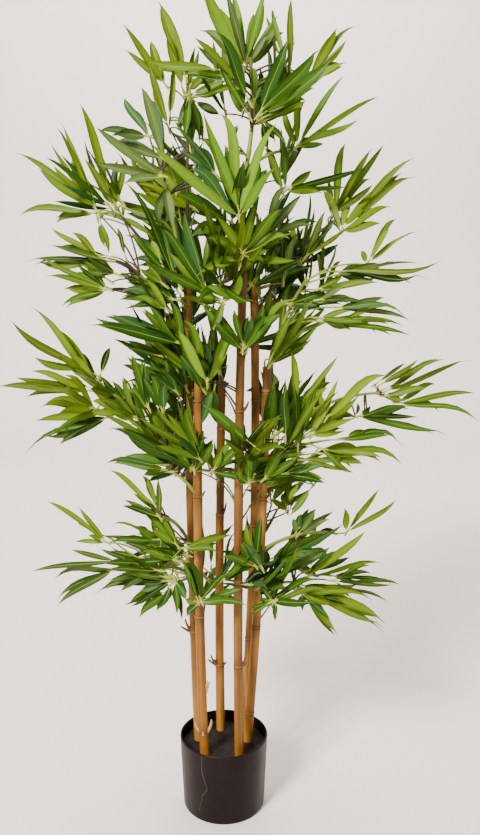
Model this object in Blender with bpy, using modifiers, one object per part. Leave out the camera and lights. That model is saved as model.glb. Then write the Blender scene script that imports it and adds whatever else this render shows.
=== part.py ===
"""Potted artificial bamboo, about 1.24 m tall.

Six tapering tan canes stand in the filling of a small black pot. A thin leader goes on from one cane,
tapering boughs leave the canes, and thin uneven masses of lance leaves lie at their ends. Metres, +Z up,
with the origin at the centre of the pot's flat underside. +X is the plant's right and -Y its front.
"""

import math
from dataclasses import dataclass

import bmesh
import bpy
import numpy as np
from mathutils import Vector

# Pot and filling
POT_HEIGHT = 0.117
POT_RIM_RADIUS = 0.070
POT_BASE_RADIUS = 0.065
POT_WALL = 0.0025
POT_FLOOR = 0.004
POT_FOOT_ROUND = 0.004
POT_STEPS = 32
LIP_POINTS = 5
FOOT_POINTS = 4
FILLING_TOP = 0.100

# Canes
CANE_FOOT_RADIUS = 0.0076
CANE_TOP_RADIUS = 0.0064
CANE_FOOT_Z = 0.030
RIDGE_RISE = 0.0008
RIDGE_HALF_WIDTH = 0.004
CANE_SIDES_STEP = 2
CANE_STATION_STEP = 0.09  # between the stations that follow a cane's bow
CANE_STATION_CLEAR = 0.03  # left free of such stations round each node and below the cut top
LEADER_FOOT_RADIUS = 0.0042
LEADER_TOP_RADIUS = 0.0024
LEADER_POINTS = 7

# Boughs
BOUGH_FOOT_RADIUS = 0.0034
BOUGH_TOP_RADIUS = 0.0022
BOUGH_POINTS = 5
BOUGH_SIDES_STEP = 1
BOUGH_RUN_IN = 0.30  # share of its mass's reach at which a bough's axis stops, before it is cut back
BOUGH_ARCH = 0.10  # rise of a bough's middle over its chord, as a share of the chord

# Masses of foliage
MASS_SEGMENTS = 14
MASS_RINGS = 6
MASS_HUB_WIDTH = 0.35  # width near the hub, as a share of the width half way along
MASS_FULLNESS = 0.8  # share of the span that the pad's widest place fills before its lobes
MASS_UNEVEN = 0.07
MASS_UNEVEN_DEPTH = 3.0  # how many times more uneven the pad's faces are than its rim
MASS_LOBE = 0.12
MASS_LOBE_SPREAD = 1.6  # draws the lobes together on the tip's side of the rim
MASS_LOBE_PHASE = 0.4
MASS_DROOP = 0.08  # how far the tip hangs, as a share of the reach

SEAT_GAP = 0.0003  # left between pieces that touch
MERGE_DISTANCE = 0.00005
SMOOTH_UP_TO = 40.0  # degrees between faces
SEED = 5


@dataclass(frozen=True)
class Look:
    """One material's name, base colour and roughness."""

    name: str
    colour: tuple
    roughness: float


TAN_CANE = Look("cane", (0.52, 0.25, 0.10), 0.45)
BLACK_PLASTIC = Look("pot_plastic", (0.020, 0.016, 0.017), 0.40)
DARK_FILLING = Look("filling", (0.022, 0.020, 0.020), 0.90)
OLIVE_STEM = Look("stem", (0.16, 0.17, 0.05), 0.50)
LEAF_GREEN = Look("foliage", (0.075, 0.18, 0.035), 0.60)


@dataclass(frozen=True)
class Cane:
    """One cane: where it leaves the filling, its cut top, its sideways bow, and its nodes' heights."""

    name: str
    foot: tuple
    top: tuple
    bow: tuple
    nodes: tuple

    def axis(self, height):
        """The point of the cane's axis at this height: a chord bowed as a parabola, straight below it."""
        along = (height - FILLING_TOP) / (self.top[2] - FILLING_TOP)
        bowed = 4.0 * along * (1.0 - along) if along > 0.0 else 4.0 * along
        x = self.foot[0] + (self.top[0] - self.foot[0]) * along + self.bow[0] * bowed
        y = self.foot[1] + (self.top[1] - self.foot[1]) * along + self.bow[1] * bowed
        return Vector((x, y, height))

    def radius(self, height):
        """The cane's radius between its nodes, thinning evenly to the top."""
        along = (height - CANE_FOOT_Z) / (self.top[2] - CANE_FOOT_Z)
        return CANE_FOOT_RADIUS + (CANE_TOP_RADIUS - CANE_FOOT_RADIUS) * along


@dataclass(frozen=True)
class Mass:
    """One mass of leaves: a lobed pad that spreads from a hub.

    bearing turns from +X towards +Y and rise is above level, both in degrees. A roll of 0 lays the pad
    flat about its length and 90 stands it on edge.
    """

    name: str
    hub: tuple
    bearing: float
    rise: float
    roll: float
    reach: float
    span: float
    thick: float
    lobes: int

    def axes(self):
        """Unit vectors along the pad, across it and through it."""
        turn, up = math.radians(self.bearing), math.radians(self.rise)
        along = Vector((math.cos(up) * math.cos(turn), math.cos(up) * math.sin(turn), math.sin(up)))
        side = Vector((-math.sin(turn), math.cos(turn), 0.0))
        normal = along.cross(side)
        roll = math.radians(self.roll)
        across = side * math.cos(roll) + normal * math.sin(roll)
        through = normal * math.cos(roll) - side * math.sin(roll)
        return along, across, through


@dataclass(frozen=True)
class Bough:
    """One tapering bough, from the axis of a cane at a height to the mass that it carries."""

    name: str
    cane: str
    height: float
    mass: str


CANES = (
    Cane("cane_front_left", (-0.029, -0.036), (-0.033, -0.046, 0.728), (-0.005, 0.0),
         (0.142, 0.330, 0.518, 0.660)),
    Cane("cane_left", (-0.041, 0.010), (-0.051, 0.004, 0.823), (-0.004, 0.0),
         (0.285, 0.410, 0.640, 0.760)),
    Cane("cane_back_left", (-0.006, 0.039), (-0.002, 0.048, 0.681), (-0.003, 0.0),
         (0.213, 0.465, 0.604)),
    Cane("cane_front_right", (0.025, -0.038), (0.030, -0.030, 0.845), (-0.004, 0.0),
         (0.249, 0.374, 0.643, 0.740)),
    Cane("cane_right", (0.038, 0.006), (0.066, -0.004, 0.707), (0.005, 0.0),
         (0.148, 0.295, 0.504, 0.670)),
    Cane("cane_back_right", (0.032, 0.036), (0.047, 0.040, 0.827), (0.009, 0.0),
         (0.260, 0.450, 0.650)),
)
LEADER_CANE = "cane_front_right"
LEADER_TOP = (0.040, -0.025, 1.135)
LEADER_SWAY = (0.004, 0.0, 0.0)

MASSES = (
    Mass("leaves_crown_tip", (0.038, -0.014, 1.120), 110, 84, 80, 0.140, 0.130, 0.032, 4),
    Mass("leaves_top_front", (0.044, -0.014, 1.028), 266, 46, 6, 0.200, 0.200, 0.028, 5),
    Mass("leaves_top_right_high", (0.028, -0.026, 1.078), 14, 40, 78, 0.215, 0.090, 0.024, 3),
    Mass("leaves_top_right", (0.098, 0.008, 1.018), 356, 27, 70, 0.145, 0.140, 0.030, 4),
    Mass("leaves_top_left", (-0.050, 0.018, 1.085), 158, 56, 76, 0.165, 0.190, 0.032, 5),
    Mass("leaves_upper_left_inner", (-0.085, -0.026, 0.985), 208, 20, 60, 0.145, 0.165, 0.032, 4),
    Mass("leaves_upper_left_outer", (-0.148, 0.020, 0.925), 162, 34, 74, 0.178, 0.205, 0.032, 6),
    Mass("leaves_left_shoulder", (-0.116, -0.036, 0.840), 198, 6, 66, 0.160, 0.140, 0.030, 5),
    Mass("leaves_centre_upper", (0.034, -0.012, 0.885), 258, 44, 4, 0.235, 0.220, 0.032, 5),
    Mass("leaves_right_inner_upper", (0.084, 0.036, 0.950), 28, 40, 60, 0.130, 0.150, 0.030, 4),
    Mass("leaves_upper_right", (0.158, 0.022, 0.915), 12, 40, 76, 0.172, 0.170, 0.030, 5),
    Mass("leaves_right_shoulder", (0.122, -0.030, 0.835), 346, 6, 68, 0.196, 0.160, 0.030, 5),
    Mass("leaves_left_middle", (-0.036, 0.018, 0.690), 212, 28, 44, 0.210, 0.150, 0.032, 4),
    Mass("leaves_centre_middle", (0.029, -0.006, 0.745), 270, 36, 8, 0.245, 0.200, 0.032, 5),
    Mass("leaves_outer_left", (-0.158, 0.000, 0.662), 186, 6, 78, 0.186, 0.220, 0.032, 6),
    Mass("leaves_inner_left", (-0.075, -0.060, 0.560), 216, 38, 60, 0.150, 0.130, 0.030, 4),
    Mass("leaves_centre_low", (0.029, -0.014, 0.545), 254, 34, 8, 0.235, 0.195, 0.030, 4),
    Mass("leaves_outer_right", (0.238, 0.018, 0.665), 2, -1, 76, 0.160, 0.175, 0.030, 5),
    Mass("leaves_inner_right", (0.098, -0.040, 0.590), 338, 36, 72, 0.175, 0.205, 0.030, 4),
    Mass("leaves_low_left_upper", (-0.086, -0.072, 0.495), 232, 40, 46, 0.110, 0.110, 0.026, 3),
    Mass("leaves_low_left", (-0.092, -0.044, 0.408), 192, 16, 74, 0.200, 0.190, 0.028, 5),
    Mass("leaves_low_front", (-0.037, -0.026, 0.336), 278, 36, 20, 0.170, 0.100, 0.024, 3),
    Mass("leaves_low_right_inner", (0.056, 0.012, 0.372), 262, 44, 28, 0.160, 0.090, 0.024, 3),
    Mass("leaves_low_right", (0.110, 0.000, 0.370), 350, 8, 70, 0.184, 0.170, 0.028, 6),
    Mass("leaves_low_right_upper", (0.180, 0.032, 0.438), 12, 34, 62, 0.120, 0.085, 0.024, 3),
    Mass("leaves_back_top", (0.042, -0.044, 0.985), 98, 38, 12, 0.250, 0.200, 0.030, 5),
    Mass("leaves_back_upper_left", (-0.050, 0.078, 0.880), 124, 30, 30, 0.210, 0.185, 0.032, 5),
    Mass("leaves_back_upper_right", (0.085, 0.090, 0.845), 62, 28, 30, 0.200, 0.185, 0.032, 5),
    Mass("leaves_back_middle_left", (0.006, 0.032, 0.610), 122, 28, 24, 0.290, 0.190, 0.032, 5),
    Mass("leaves_back_middle_right", (0.042, 0.020, 0.660), 58, 24, 24, 0.290, 0.190, 0.032, 5),
    Mass("leaves_back_low_left", (0.006, 0.028, 0.445), 132, 18, 36, 0.245, 0.130, 0.026, 4),
    Mass("leaves_back_low_right", (0.034, 0.024, 0.420), 48, 20, 36, 0.235, 0.130, 0.026, 4),
)

BOUGHS = (
    Bough("bough_top_right", "leader", 0.985, "leaves_top_right"),
    Bough("bough_top_left", "cane_left", 0.815, "leaves_top_left"),
    Bough("bough_upper_left_inner", "cane_left", 0.790, "leaves_upper_left_inner"),
    Bough("bough_upper_left_outer", "cane_left", 0.755, "leaves_upper_left_outer"),
    Bough("bough_left_shoulder", "cane_left", 0.735, "leaves_left_shoulder"),
    Bough("bough_right_inner_upper", "cane_back_right", 0.820, "leaves_right_inner_upper"),
    Bough("bough_upper_right", "cane_back_right", 0.780, "leaves_upper_right"),
    Bough("bough_right_shoulder", "cane_right", 0.700, "leaves_right_shoulder"),
    Bough("bough_outer_left", "cane_left", 0.585, "leaves_outer_left"),
    Bough("bough_inner_left", "cane_front_left", 0.518, "leaves_inner_left"),
    Bough("bough_outer_right", "cane_right", 0.590, "leaves_outer_right"),
    Bough("bough_inner_right", "cane_right", 0.520, "leaves_inner_right"),
    Bough("bough_low_left_upper", "cane_left", 0.425, "leaves_low_left_upper"),
    Bough("bough_low_left", "cane_left", 0.375, "leaves_low_left"),
    Bough("bough_low_right", "cane_right", 0.350, "leaves_low_right"),
    Bough("bough_low_right_upper", "cane_right", 0.420, "leaves_low_right_upper"),
    Bough("bough_back_upper_left", "cane_back_left", 0.674, "leaves_back_upper_left"),
    Bough("bough_back_upper_right", "cane_back_right", 0.730, "leaves_back_upper_right"),
)


def clear_scene():
    """Removes every object of the scene."""
    for obj in list(bpy.data.objects):
        bpy.data.objects.remove(obj, do_unlink=True)


def new_collection(name, shown):
    """A collection in the scene, left out of renders where it isn't shown."""
    collection = bpy.data.collections.new(name)
    collection.hide_render = not shown
    bpy.context.scene.collection.children.link(collection)
    return collection


def new_material(look):
    """A Principled material of one colour."""
    material = bpy.data.materials.new(look.name)
    material.use_nodes = True
    shader = material.node_tree.nodes["Principled BSDF"]
    shader.inputs["Base Color"].default_value = (*look.colour, 1.0)
    shader.inputs["Roughness"].default_value = look.roughness
    shader.inputs["Metallic"].default_value = 0.0
    return material


def add_part(name, mesh, material, collection):
    """A visible object of this mesh, shaded smooth up to sharp edges."""
    obj = bpy.data.objects.new(name, mesh)
    mesh.materials.append(material)
    mesh.shade_smooth()
    mesh.set_sharp_from_angle(angle=math.radians(SMOOTH_UP_TO))
    collection.objects.link(obj)
    return obj


def add_cutter(name, mesh, collection):
    """A hidden object that only cuts others."""
    obj = bpy.data.objects.new(name, mesh)
    obj.hide_render = True
    obj.display_type = "WIRE"
    collection.objects.link(obj)
    return obj


def limb_mesh(name, points, radii, sides_step):
    """A closed tapering tube with flat ends: a bevelled curve made a mesh, with its caps joined on."""
    curve = bpy.data.curves.new(name, "CURVE")
    curve.dimensions = "3D"
    curve.bevel_depth = 1.0
    curve.bevel_resolution = sides_step
    curve.use_fill_caps = True
    spline = curve.splines.new("POLY")
    spline.points.add(len(points) - 1)
    for control, point, radius in zip(spline.points, points, radii):
        control.co = (*point, 1.0)
        control.radius = radius
    guide = bpy.data.objects.new(name + "_guide", curve)
    bpy.context.scene.collection.objects.link(guide)
    bpy.context.view_layer.update()
    evaluated = guide.evaluated_get(bpy.context.evaluated_depsgraph_get())
    mesh = bpy.data.meshes.new_from_object(evaluated)
    bpy.data.objects.remove(guide, do_unlink=True)
    form = bmesh.new()
    form.from_mesh(mesh)
    bmesh.ops.remove_doubles(form, verts=form.verts, dist=MERGE_DISTANCE)
    bmesh.ops.recalc_face_normals(form, faces=form.faces)
    form.to_mesh(mesh)
    form.free()
    mesh.name = name
    return mesh


def cane_mesh(cane, grow):
    """A cane from its flat foot to its flat cut top, with a low ridge at each node."""
    stations = [(CANE_FOOT_Z - grow, 0.0)]
    for node in cane.nodes:
        stations.append((node - RIDGE_HALF_WIDTH, 0.0))
        stations.append((node, RIDGE_RISE))
        stations.append((node + RIDGE_HALF_WIDTH, 0.0))
    for clear in np.arange(FILLING_TOP, cane.top[2] - CANE_STATION_CLEAR, CANE_STATION_STEP):
        if min(abs(clear - node) for node in cane.nodes) > CANE_STATION_CLEAR:
            stations.append((float(clear), 0.0))
    stations.append((cane.top[2] + grow, 0.0))
    stations.sort()
    points = [cane.axis(height) for height, _ in stations]
    radii = [cane.radius(height) + ridge + grow for height, ridge in stations]
    return limb_mesh(cane.name, points, radii, CANE_SIDES_STEP)


def bent_line(start, end, offset, count):
    """Points from start to end on an arc whose middle lies off the chord by the offset."""
    shares = [step / (count - 1) for step in range(count)]
    return [start.lerp(end, share) + offset * (4.0 * share * (1.0 - share)) for share in shares]


def leader_line():
    """The leader's axis, from just over its cane's cut top to the crown."""
    cane = next(cane for cane in CANES if cane.name == LEADER_CANE)
    start = Vector(cane.top) + Vector((0.0, 0.0, SEAT_GAP))
    return bent_line(start, Vector(LEADER_TOP), Vector(LEADER_SWAY), LEADER_POINTS)


def leader_mesh(grow):
    """The thin leader that goes on up from one cane."""
    line = leader_line()
    radii = np.linspace(LEADER_FOOT_RADIUS, LEADER_TOP_RADIUS, len(line)) + grow
    return limb_mesh("leader", line, radii, CANE_SIDES_STEP)


def carrier_point(name, height):
    """The point at this height on the axis of a cane or of the leader."""
    if name != "leader":
        return next(cane for cane in CANES if cane.name == name).axis(height)
    line = leader_line()
    return min(line, key=lambda point: abs(point.z - height))


def mass_mesh(mass, grow):
    """A lobed pad: a sphere squashed to the pad's sizes, narrow at its hub, wavy at its rim and uneven.

    A vertex at angle a round the rim and p from the pad's face stands at
    reach / 2 * sin(p) * cos(a) along and span / 2 * sin(p) * sin(a) * (width share) across,
    and each is then scaled by the lobes and by an uneven share of its own.
    """
    random = np.random.default_rng(SEED + MASSES.index(mass))
    along, across, through = mass.axes()
    form = bmesh.new()
    bmesh.ops.create_uvsphere(form, u_segments=MASS_SEGMENTS, v_segments=MASS_RINGS, radius=1.0)
    widest = 0.5 * (1.0 + MASS_HUB_WIDTH)
    phase = random.uniform(-MASS_LOBE_PHASE, MASS_LOBE_PHASE)
    for vertex in form.verts:
        rim = math.hypot(vertex.co.x, vertex.co.y)
        angle = math.atan2(vertex.co.y, vertex.co.x)
        toward_tip = 0.5 * (1.0 + math.cos(angle))
        lobe = MASS_LOBE * toward_tip * math.cos(mass.lobes * MASS_LOBE_SPREAD * angle + phase)
        uneven = random.uniform(-MASS_UNEVEN, MASS_UNEVEN)
        scale = 1.0 - MASS_LOBE + lobe + uneven
        width = MASS_FULLNESS * (MASS_HUB_WIDTH + (1.0 - MASS_HUB_WIDTH) * toward_tip) / widest
        length_at = 0.5 * mass.reach * (1.0 + vertex.co.x * (scale if vertex.co.x > 0 else 1.0))
        width_at = 0.5 * mass.span * vertex.co.y * width * scale
        depth_at = 0.5 * mass.thick * vertex.co.z * (1.0 + MASS_UNEVEN_DEPTH * uneven)
        droop = MASS_DROOP * mass.reach * (length_at / mass.reach) ** 2
        place = Vector(mass.hub) + along * length_at + across * width_at + through * depth_at
        place.z -= droop * rim
        vertex.co = place
    form.normal_update()
    if grow > 0.0:
        moved = [vertex.co + vertex.normal * grow for vertex in form.verts]
        for vertex, place in zip(form.verts, moved):
            vertex.co = place
    mesh = bpy.data.meshes.new(mass.name)
    form.to_mesh(mesh)
    form.free()
    return mesh


def bough_line(bough):
    """A bough's axis: an arching line from its carrier's axis into the mass that it holds."""
    mass = next(mass for mass in MASSES if mass.name == bough.mass)
    start = carrier_point(bough.cane, bough.height)
    end = Vector(mass.hub) + mass.axes()[0] * (mass.reach * BOUGH_RUN_IN)
    rise = Vector((0.0, 0.0, BOUGH_ARCH * (end - start).length))
    return bent_line(start, end, rise, BOUGH_POINTS)


def bough_mesh(bough, grow):
    """One bough as a tapering tube."""
    line = bough_line(bough)
    radii = np.linspace(BOUGH_FOOT_RADIUS, BOUGH_TOP_RADIUS, len(line)) + grow
    return limb_mesh(bough.name, line, radii, BOUGH_SIDES_STEP)


def pot_profile():
    """The pot's half section, up the inside from the middle of the floor and down the outside."""
    lean = (POT_RIM_RADIUS - POT_BASE_RADIUS) / POT_HEIGHT

    def wall(height):
        return POT_BASE_RADIUS + lean * height

    half = 0.5 * POT_WALL
    lip = [
        (wall(POT_HEIGHT) - half + half * math.cos(turn), POT_HEIGHT - half + half * math.sin(turn))
        for turn in np.linspace(math.pi, 0.0, LIP_POINTS)
    ]
    foot = [
        (wall(POT_FOOT_ROUND) - POT_FOOT_ROUND * (1.0 - math.cos(turn)),
         POT_FOOT_ROUND * (1.0 - math.sin(turn)))
        for turn in np.linspace(0.0, 0.5 * math.pi, FOOT_POINTS)
    ]
    inside = [(0.0, POT_FLOOR), (wall(POT_FLOOR) - POT_WALL, POT_FLOOR)]
    return inside + lip + foot + [(0.0, 0.0)]


def pot_object(material, collection):
    """The pot, its half section turned round the upright axis."""
    profile = pot_profile()
    mesh = bpy.data.meshes.new("pot")
    edges = [(index, index + 1) for index in range(len(profile) - 1)]
    mesh.from_pydata([(x, 0.0, z) for x, z in profile], edges, [])
    obj = add_part("pot", mesh, material, collection)
    turn = obj.modifiers.new("turn", "SCREW")
    turn.steps = POT_STEPS
    turn.render_steps = POT_STEPS
    turn.use_merge_vertices = True
    turn.merge_threshold = MERGE_DISTANCE
    turn.use_smooth_shade = True
    return obj


def filling_mesh():
    """The round block of filling, clear of the pot's wall and floor."""
    lean = (POT_RIM_RADIUS - POT_BASE_RADIUS) / POT_HEIGHT
    bottom = POT_FLOOR + SEAT_GAP
    inner = POT_BASE_RADIUS - POT_WALL - 2.0 * SEAT_GAP
    form = bmesh.new()
    bmesh.ops.create_cone(
        form, cap_ends=True, segments=POT_STEPS, radius1=inner + lean * bottom,
        radius2=inner + lean * FILLING_TOP, depth=FILLING_TOP - bottom,
    )
    bmesh.ops.translate(form, verts=form.verts, vec=(0.0, 0.0, 0.5 * (FILLING_TOP + bottom)))
    mesh = bpy.data.meshes.new("pot_filling")
    form.to_mesh(mesh)
    form.free()
    return mesh


def boxes_meet(first, second):
    """Whether two objects' own boxes overlap. Both stand unturned at the origin."""
    mine = np.array([corner[:] for corner in first.bound_box])
    other = np.array([corner[:] for corner in second.bound_box])
    return bool(np.all(mine.min(0) < other.max(0)) and np.all(other.min(0) < mine.max(0)))


def cut_round(obj, cutters):
    """Cuts the object clear of each cutter whose box it meets."""
    for cutter in cutters:
        if boxes_meet(obj, cutter):
            cut = obj.modifiers.new("clear_" + cutter.name, "BOOLEAN")
            cut.operation = "DIFFERENCE"
            cut.solver = "EXACT"
            cut.object = cutter


def main():
    """Builds the canes, leader, pot and filling, then the boughs, then the masses of foliage."""
    clear_scene()
    parts = new_collection("potted_bamboo", True)
    cutters = new_collection("cutters", False)
    cane_look = new_material(TAN_CANE)
    pot_look = new_material(BLACK_PLASTIC)
    filling_look = new_material(DARK_FILLING)
    stem_look = new_material(OLIVE_STEM)
    leaf_look = new_material(LEAF_GREEN)

    cane_cutters = {}
    for cane in CANES:
        add_part(cane.name, cane_mesh(cane, 0.0), cane_look, parts)
        cutter = add_cutter(cane.name + "_clear", cane_mesh(cane, SEAT_GAP), cutters)
        cane_cutters[cane.name] = cutter
    add_part("leader", leader_mesh(0.0), stem_look, parts)
    cane_cutters["leader"] = add_cutter("leader_clear", leader_mesh(SEAT_GAP), cutters)

    pot_object(pot_look, parts)
    filling = add_part("pot_filling", filling_mesh(), filling_look, parts)
    cut_round(filling, cane_cutters.values())

    mass_cutters = {}
    for mass in MASSES:
        mass_cutters[mass.name] = add_cutter(mass.name + "_clear", mass_mesh(mass, SEAT_GAP), cutters)
    bough_cutters = {}
    for bough in BOUGHS:
        limb = add_part(bough.name, bough_mesh(bough, 0.0), stem_look, parts)
        cut_round(limb, [cane_cutters[bough.cane], mass_cutters[bough.mass]])
        bough_cutters[bough.name] = add_cutter(bough.name + "_clear", bough_mesh(bough, SEAT_GAP), cutters)
    for mass in MASSES:
        pad = add_part(mass.name, mass_mesh(mass, 0.0), leaf_look, parts)
        passing = [bough_cutters[bough.name] for bough in BOUGHS if bough.mass != mass.name]
        cut_round(pad, [*cane_cutters.values(), *passing])


main()
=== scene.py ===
"""Studio scene of a potted artificial bamboo, about 1.24 m tall.

Six tan canes stand in the dark filling of a small black pot. Plastic stems leave the canes, branch into
twigs, and end in sprays of lance leaves. Leaves and twigs grow by a seeded rule from the sprays that
each mass of foliage names. Lengths are in metres unless a name or a docstring says millimetres. +Z is up,
-Y is the front, and +X is on the right as seen from the front.
"""

import logging
import math
from dataclasses import dataclass
from enum import Enum
from typing import Sequence

import bpy
import numpy as np
from numpy.typing import NDArray
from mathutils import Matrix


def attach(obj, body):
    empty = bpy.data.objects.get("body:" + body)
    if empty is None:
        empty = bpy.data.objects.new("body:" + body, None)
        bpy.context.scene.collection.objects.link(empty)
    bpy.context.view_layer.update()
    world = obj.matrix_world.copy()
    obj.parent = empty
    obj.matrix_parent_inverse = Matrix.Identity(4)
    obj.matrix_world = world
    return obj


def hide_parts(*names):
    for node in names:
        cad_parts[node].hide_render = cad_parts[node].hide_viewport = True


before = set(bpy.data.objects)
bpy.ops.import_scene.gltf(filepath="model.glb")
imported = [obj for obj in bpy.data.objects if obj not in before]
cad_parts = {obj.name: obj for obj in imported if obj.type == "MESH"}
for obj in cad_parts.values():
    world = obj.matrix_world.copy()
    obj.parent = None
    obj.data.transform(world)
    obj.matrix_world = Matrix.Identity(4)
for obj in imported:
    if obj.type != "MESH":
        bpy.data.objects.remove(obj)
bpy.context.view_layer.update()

logging.basicConfig(level=logging.INFO, format="%(message)s")
LOG = logging.getLogger("potted_bamboo")

Array = NDArray[np.float64]
Faces = NDArray[np.int64]
Place = tuple[float, float, float]
Colour = tuple[float, float, float]
Span = tuple[float, float]
Material = bpy.types.Material
Socket = bpy.types.NodeSocket
UP = np.array([0.0, 0.0, 1.0])
TINY = 1e-12
# A tube whose chord rises more steeply than this share takes its reference from the Y axis.
STEEP = 0.8
# The name of each mesh's own coordinates, and the rib's place across a leaf in them.
PATTERN = "pattern"
RIB_PATTERN = 0.5
# Degrees of turn from which an edge is sharp, for each kind of piece.
PLAIN_SHARP = 50.0
POT_SHARP = 35.0
CANE_SHARP = 42.0
LEAF_SHARP = 60.0


# ---------------------------------------------------------------- surfaces

def unit(vectors: Array) -> Array:
    """Scales vectors along the last axis to length one."""
    return vectors / np.maximum(np.linalg.norm(vectors, axis=-1, keepdims=True), TINY)


def smooth_step(values: Array) -> Array:
    """Eases 0..1 with the cubic 3 v^2 - 2 v^3, clamped at both ends."""
    clamped = np.clip(values, 0.0, 1.0)
    return clamped * clamped * (3.0 - 2.0 * clamped)


@dataclass
class Surface:
    """A mesh in arrays: points, four- and three-cornered faces, and a finish number for each.

    Pattern holds each vertex's own coordinates for its finish.
    """

    points: Array
    quads: Faces
    tris: Faces
    quad_finish: Faces
    tri_finish: Faces
    pattern: Array


def join_surfaces(parts: Sequence[Surface]) -> Surface:
    """Puts several surfaces in one, each kept as its own closed shell."""
    starts = np.cumsum([0] + [len(part.points) for part in parts[:-1]])
    return Surface(
        np.concatenate([part.points for part in parts]),
        np.concatenate([part.quads + start for part, start in zip(parts, starts)]),
        np.concatenate([part.tris + start for part, start in zip(parts, starts)]),
        np.concatenate([part.quad_finish for part in parts]),
        np.concatenate([part.tri_finish for part in parts]),
        np.concatenate([part.pattern for part in parts]),
    )


def shell_faces(count: int, rings: int, sides: int) -> tuple[Faces, Faces, Faces, Faces]:
    """Faces of many closed tubes whose ends run to a pole.

    Each tube has a pole, its rings of points and a second pole, in that order. Neighbouring rings are
    joined by four-cornered faces, and each end ring to its pole by three-cornered ones.

    Args:
        count: How many tubes there are.
        rings: Rings along one tube.
        sides: Points round one ring.

    Returns:
        Four-cornered faces, three-cornered faces, and for each of them its side number.
    """
    side = np.arange(sides)
    after = (side + 1) % sides
    ring = np.arange(rings - 1)[:, None] * sides + 1
    quads = np.stack([ring + side, ring + after, ring + sides + after, ring + sides + side], axis=-1)
    quads = quads.reshape(-1, 4)
    last = 1 + (rings - 1) * sides
    first_fan = np.stack([np.zeros(sides, int), 1 + after, 1 + side], axis=-1)
    last_fan = np.stack([np.full(sides, last + sides), last + side, last + after], axis=-1)
    tris = np.concatenate([first_fan, last_fan])
    step = np.arange(count)[:, None, None] * (rings * sides + 2)
    quad_side = np.tile(np.tile(side, rings - 1), count)
    tri_side = np.tile(np.tile(side, 2), count)
    return (quads + step).reshape(-1, 4), (tris + step).reshape(-1, 3), quad_side, tri_side


def tubes(paths: Array, radii: Array, sides: int, finish: int = 0) -> Surface:
    """Closed round tubes along many paths at once.

    A ring point at angle a stands at path + radius * (cos a * across + sin a * over), where across and
    over are square to the path and to each other.

    Args:
        paths: Path points, one row of places for each tube.
        radii: The radius at each path point.
        sides: Points round a ring.
        finish: Finish number of every face.

    Returns:
        The tubes as one surface.
    """
    count, rings, _ = paths.shape
    along = unit(np.gradient(paths, axis=1))
    chord = unit(paths[:, -1] - paths[:, 0])
    upright = np.abs(chord[:, 2:3]) > STEEP
    reference = np.where(upright, np.array([[0.0, 1.0, 0.0]]), UP[None, :])[:, None, :]
    across = unit(np.cross(along, np.broadcast_to(reference, along.shape)))
    over = np.cross(along, across)
    angle = np.linspace(0.0, 2.0 * math.pi, sides, endpoint=False)
    circle = (
        across[:, :, None, :] * np.cos(angle)[None, None, :, None]
        + over[:, :, None, :] * np.sin(angle)[None, None, :, None]
    )
    rim = paths[:, :, None, :] + circle * radii[:, :, None, None]
    points = np.concatenate(
        [paths[:, :1], rim.reshape(count, rings * sides, 3), paths[:, -1:]], axis=1
    ).reshape(-1, 3)
    quads, tris, _, _ = shell_faces(count, rings, sides)
    run = np.linspace(0.0, 1.0, rings)
    rim_pattern = np.stack(np.meshgrid(run, angle / (2.0 * math.pi), indexing="ij"), -1).reshape(-1, 2)
    one = np.concatenate([[[0.0, 0.5]], rim_pattern, [[1.0, 0.5]]])
    return Surface(
        points, quads, tris,
        np.full(len(quads), finish), np.full(len(tris), finish), np.tile(one, (count, 1)),
    )


def arc_paths(starts: Array, ends: Array, rise: Array, count: int) -> Array:
    """Paths from starts to ends whose middles stand off the chord.

    The point at share s is start + s * (end - start) + 4 s (1 - s) * rise.

    Args:
        starts: First points.
        ends: Last points.
        rise: How far each middle stands off its chord.
        count: Points along a path.

    Returns:
        Path points for each pair.
    """
    share = np.linspace(0.0, 1.0, count)[None, :, None]
    bow = 4.0 * share * (1.0 - share)
    return starts[:, None, :] + (ends - starts)[:, None, :] * share + rise[:, None, :] * bow


def turned(profile: Array, steps: int) -> Surface:
    """Turns a half section round the upright axis.

    The profile runs from the axis, round the outside, and back to the axis. A point at angle a stands
    at (radius cos a, radius sin a, height).

    Args:
        profile: Radius and height pairs. The first and the last lie on the axis.
        steps: Points round the turn.

    Returns:
        The closed turned surface.
    """
    angle = np.linspace(0.0, 2.0 * math.pi, steps, endpoint=False)
    radius, height = profile[1:-1, 0], profile[1:-1, 1]
    rings = np.stack([
        radius[:, None] * np.cos(angle), radius[:, None] * np.sin(angle),
        np.broadcast_to(height[:, None], (len(height), steps)),
    ], axis=-1)
    points = np.concatenate([
        [[0.0, 0.0, profile[0, 1]]], rings.reshape(-1, 3), [[0.0, 0.0, profile[-1, 1]]]
    ])
    quads, tris, _, _ = shell_faces(1, len(radius), steps)
    pattern = points[:, [0, 2]]
    return Surface(points, quads, tris, np.zeros(len(quads), int), np.zeros(len(tris), int), pattern)


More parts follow.
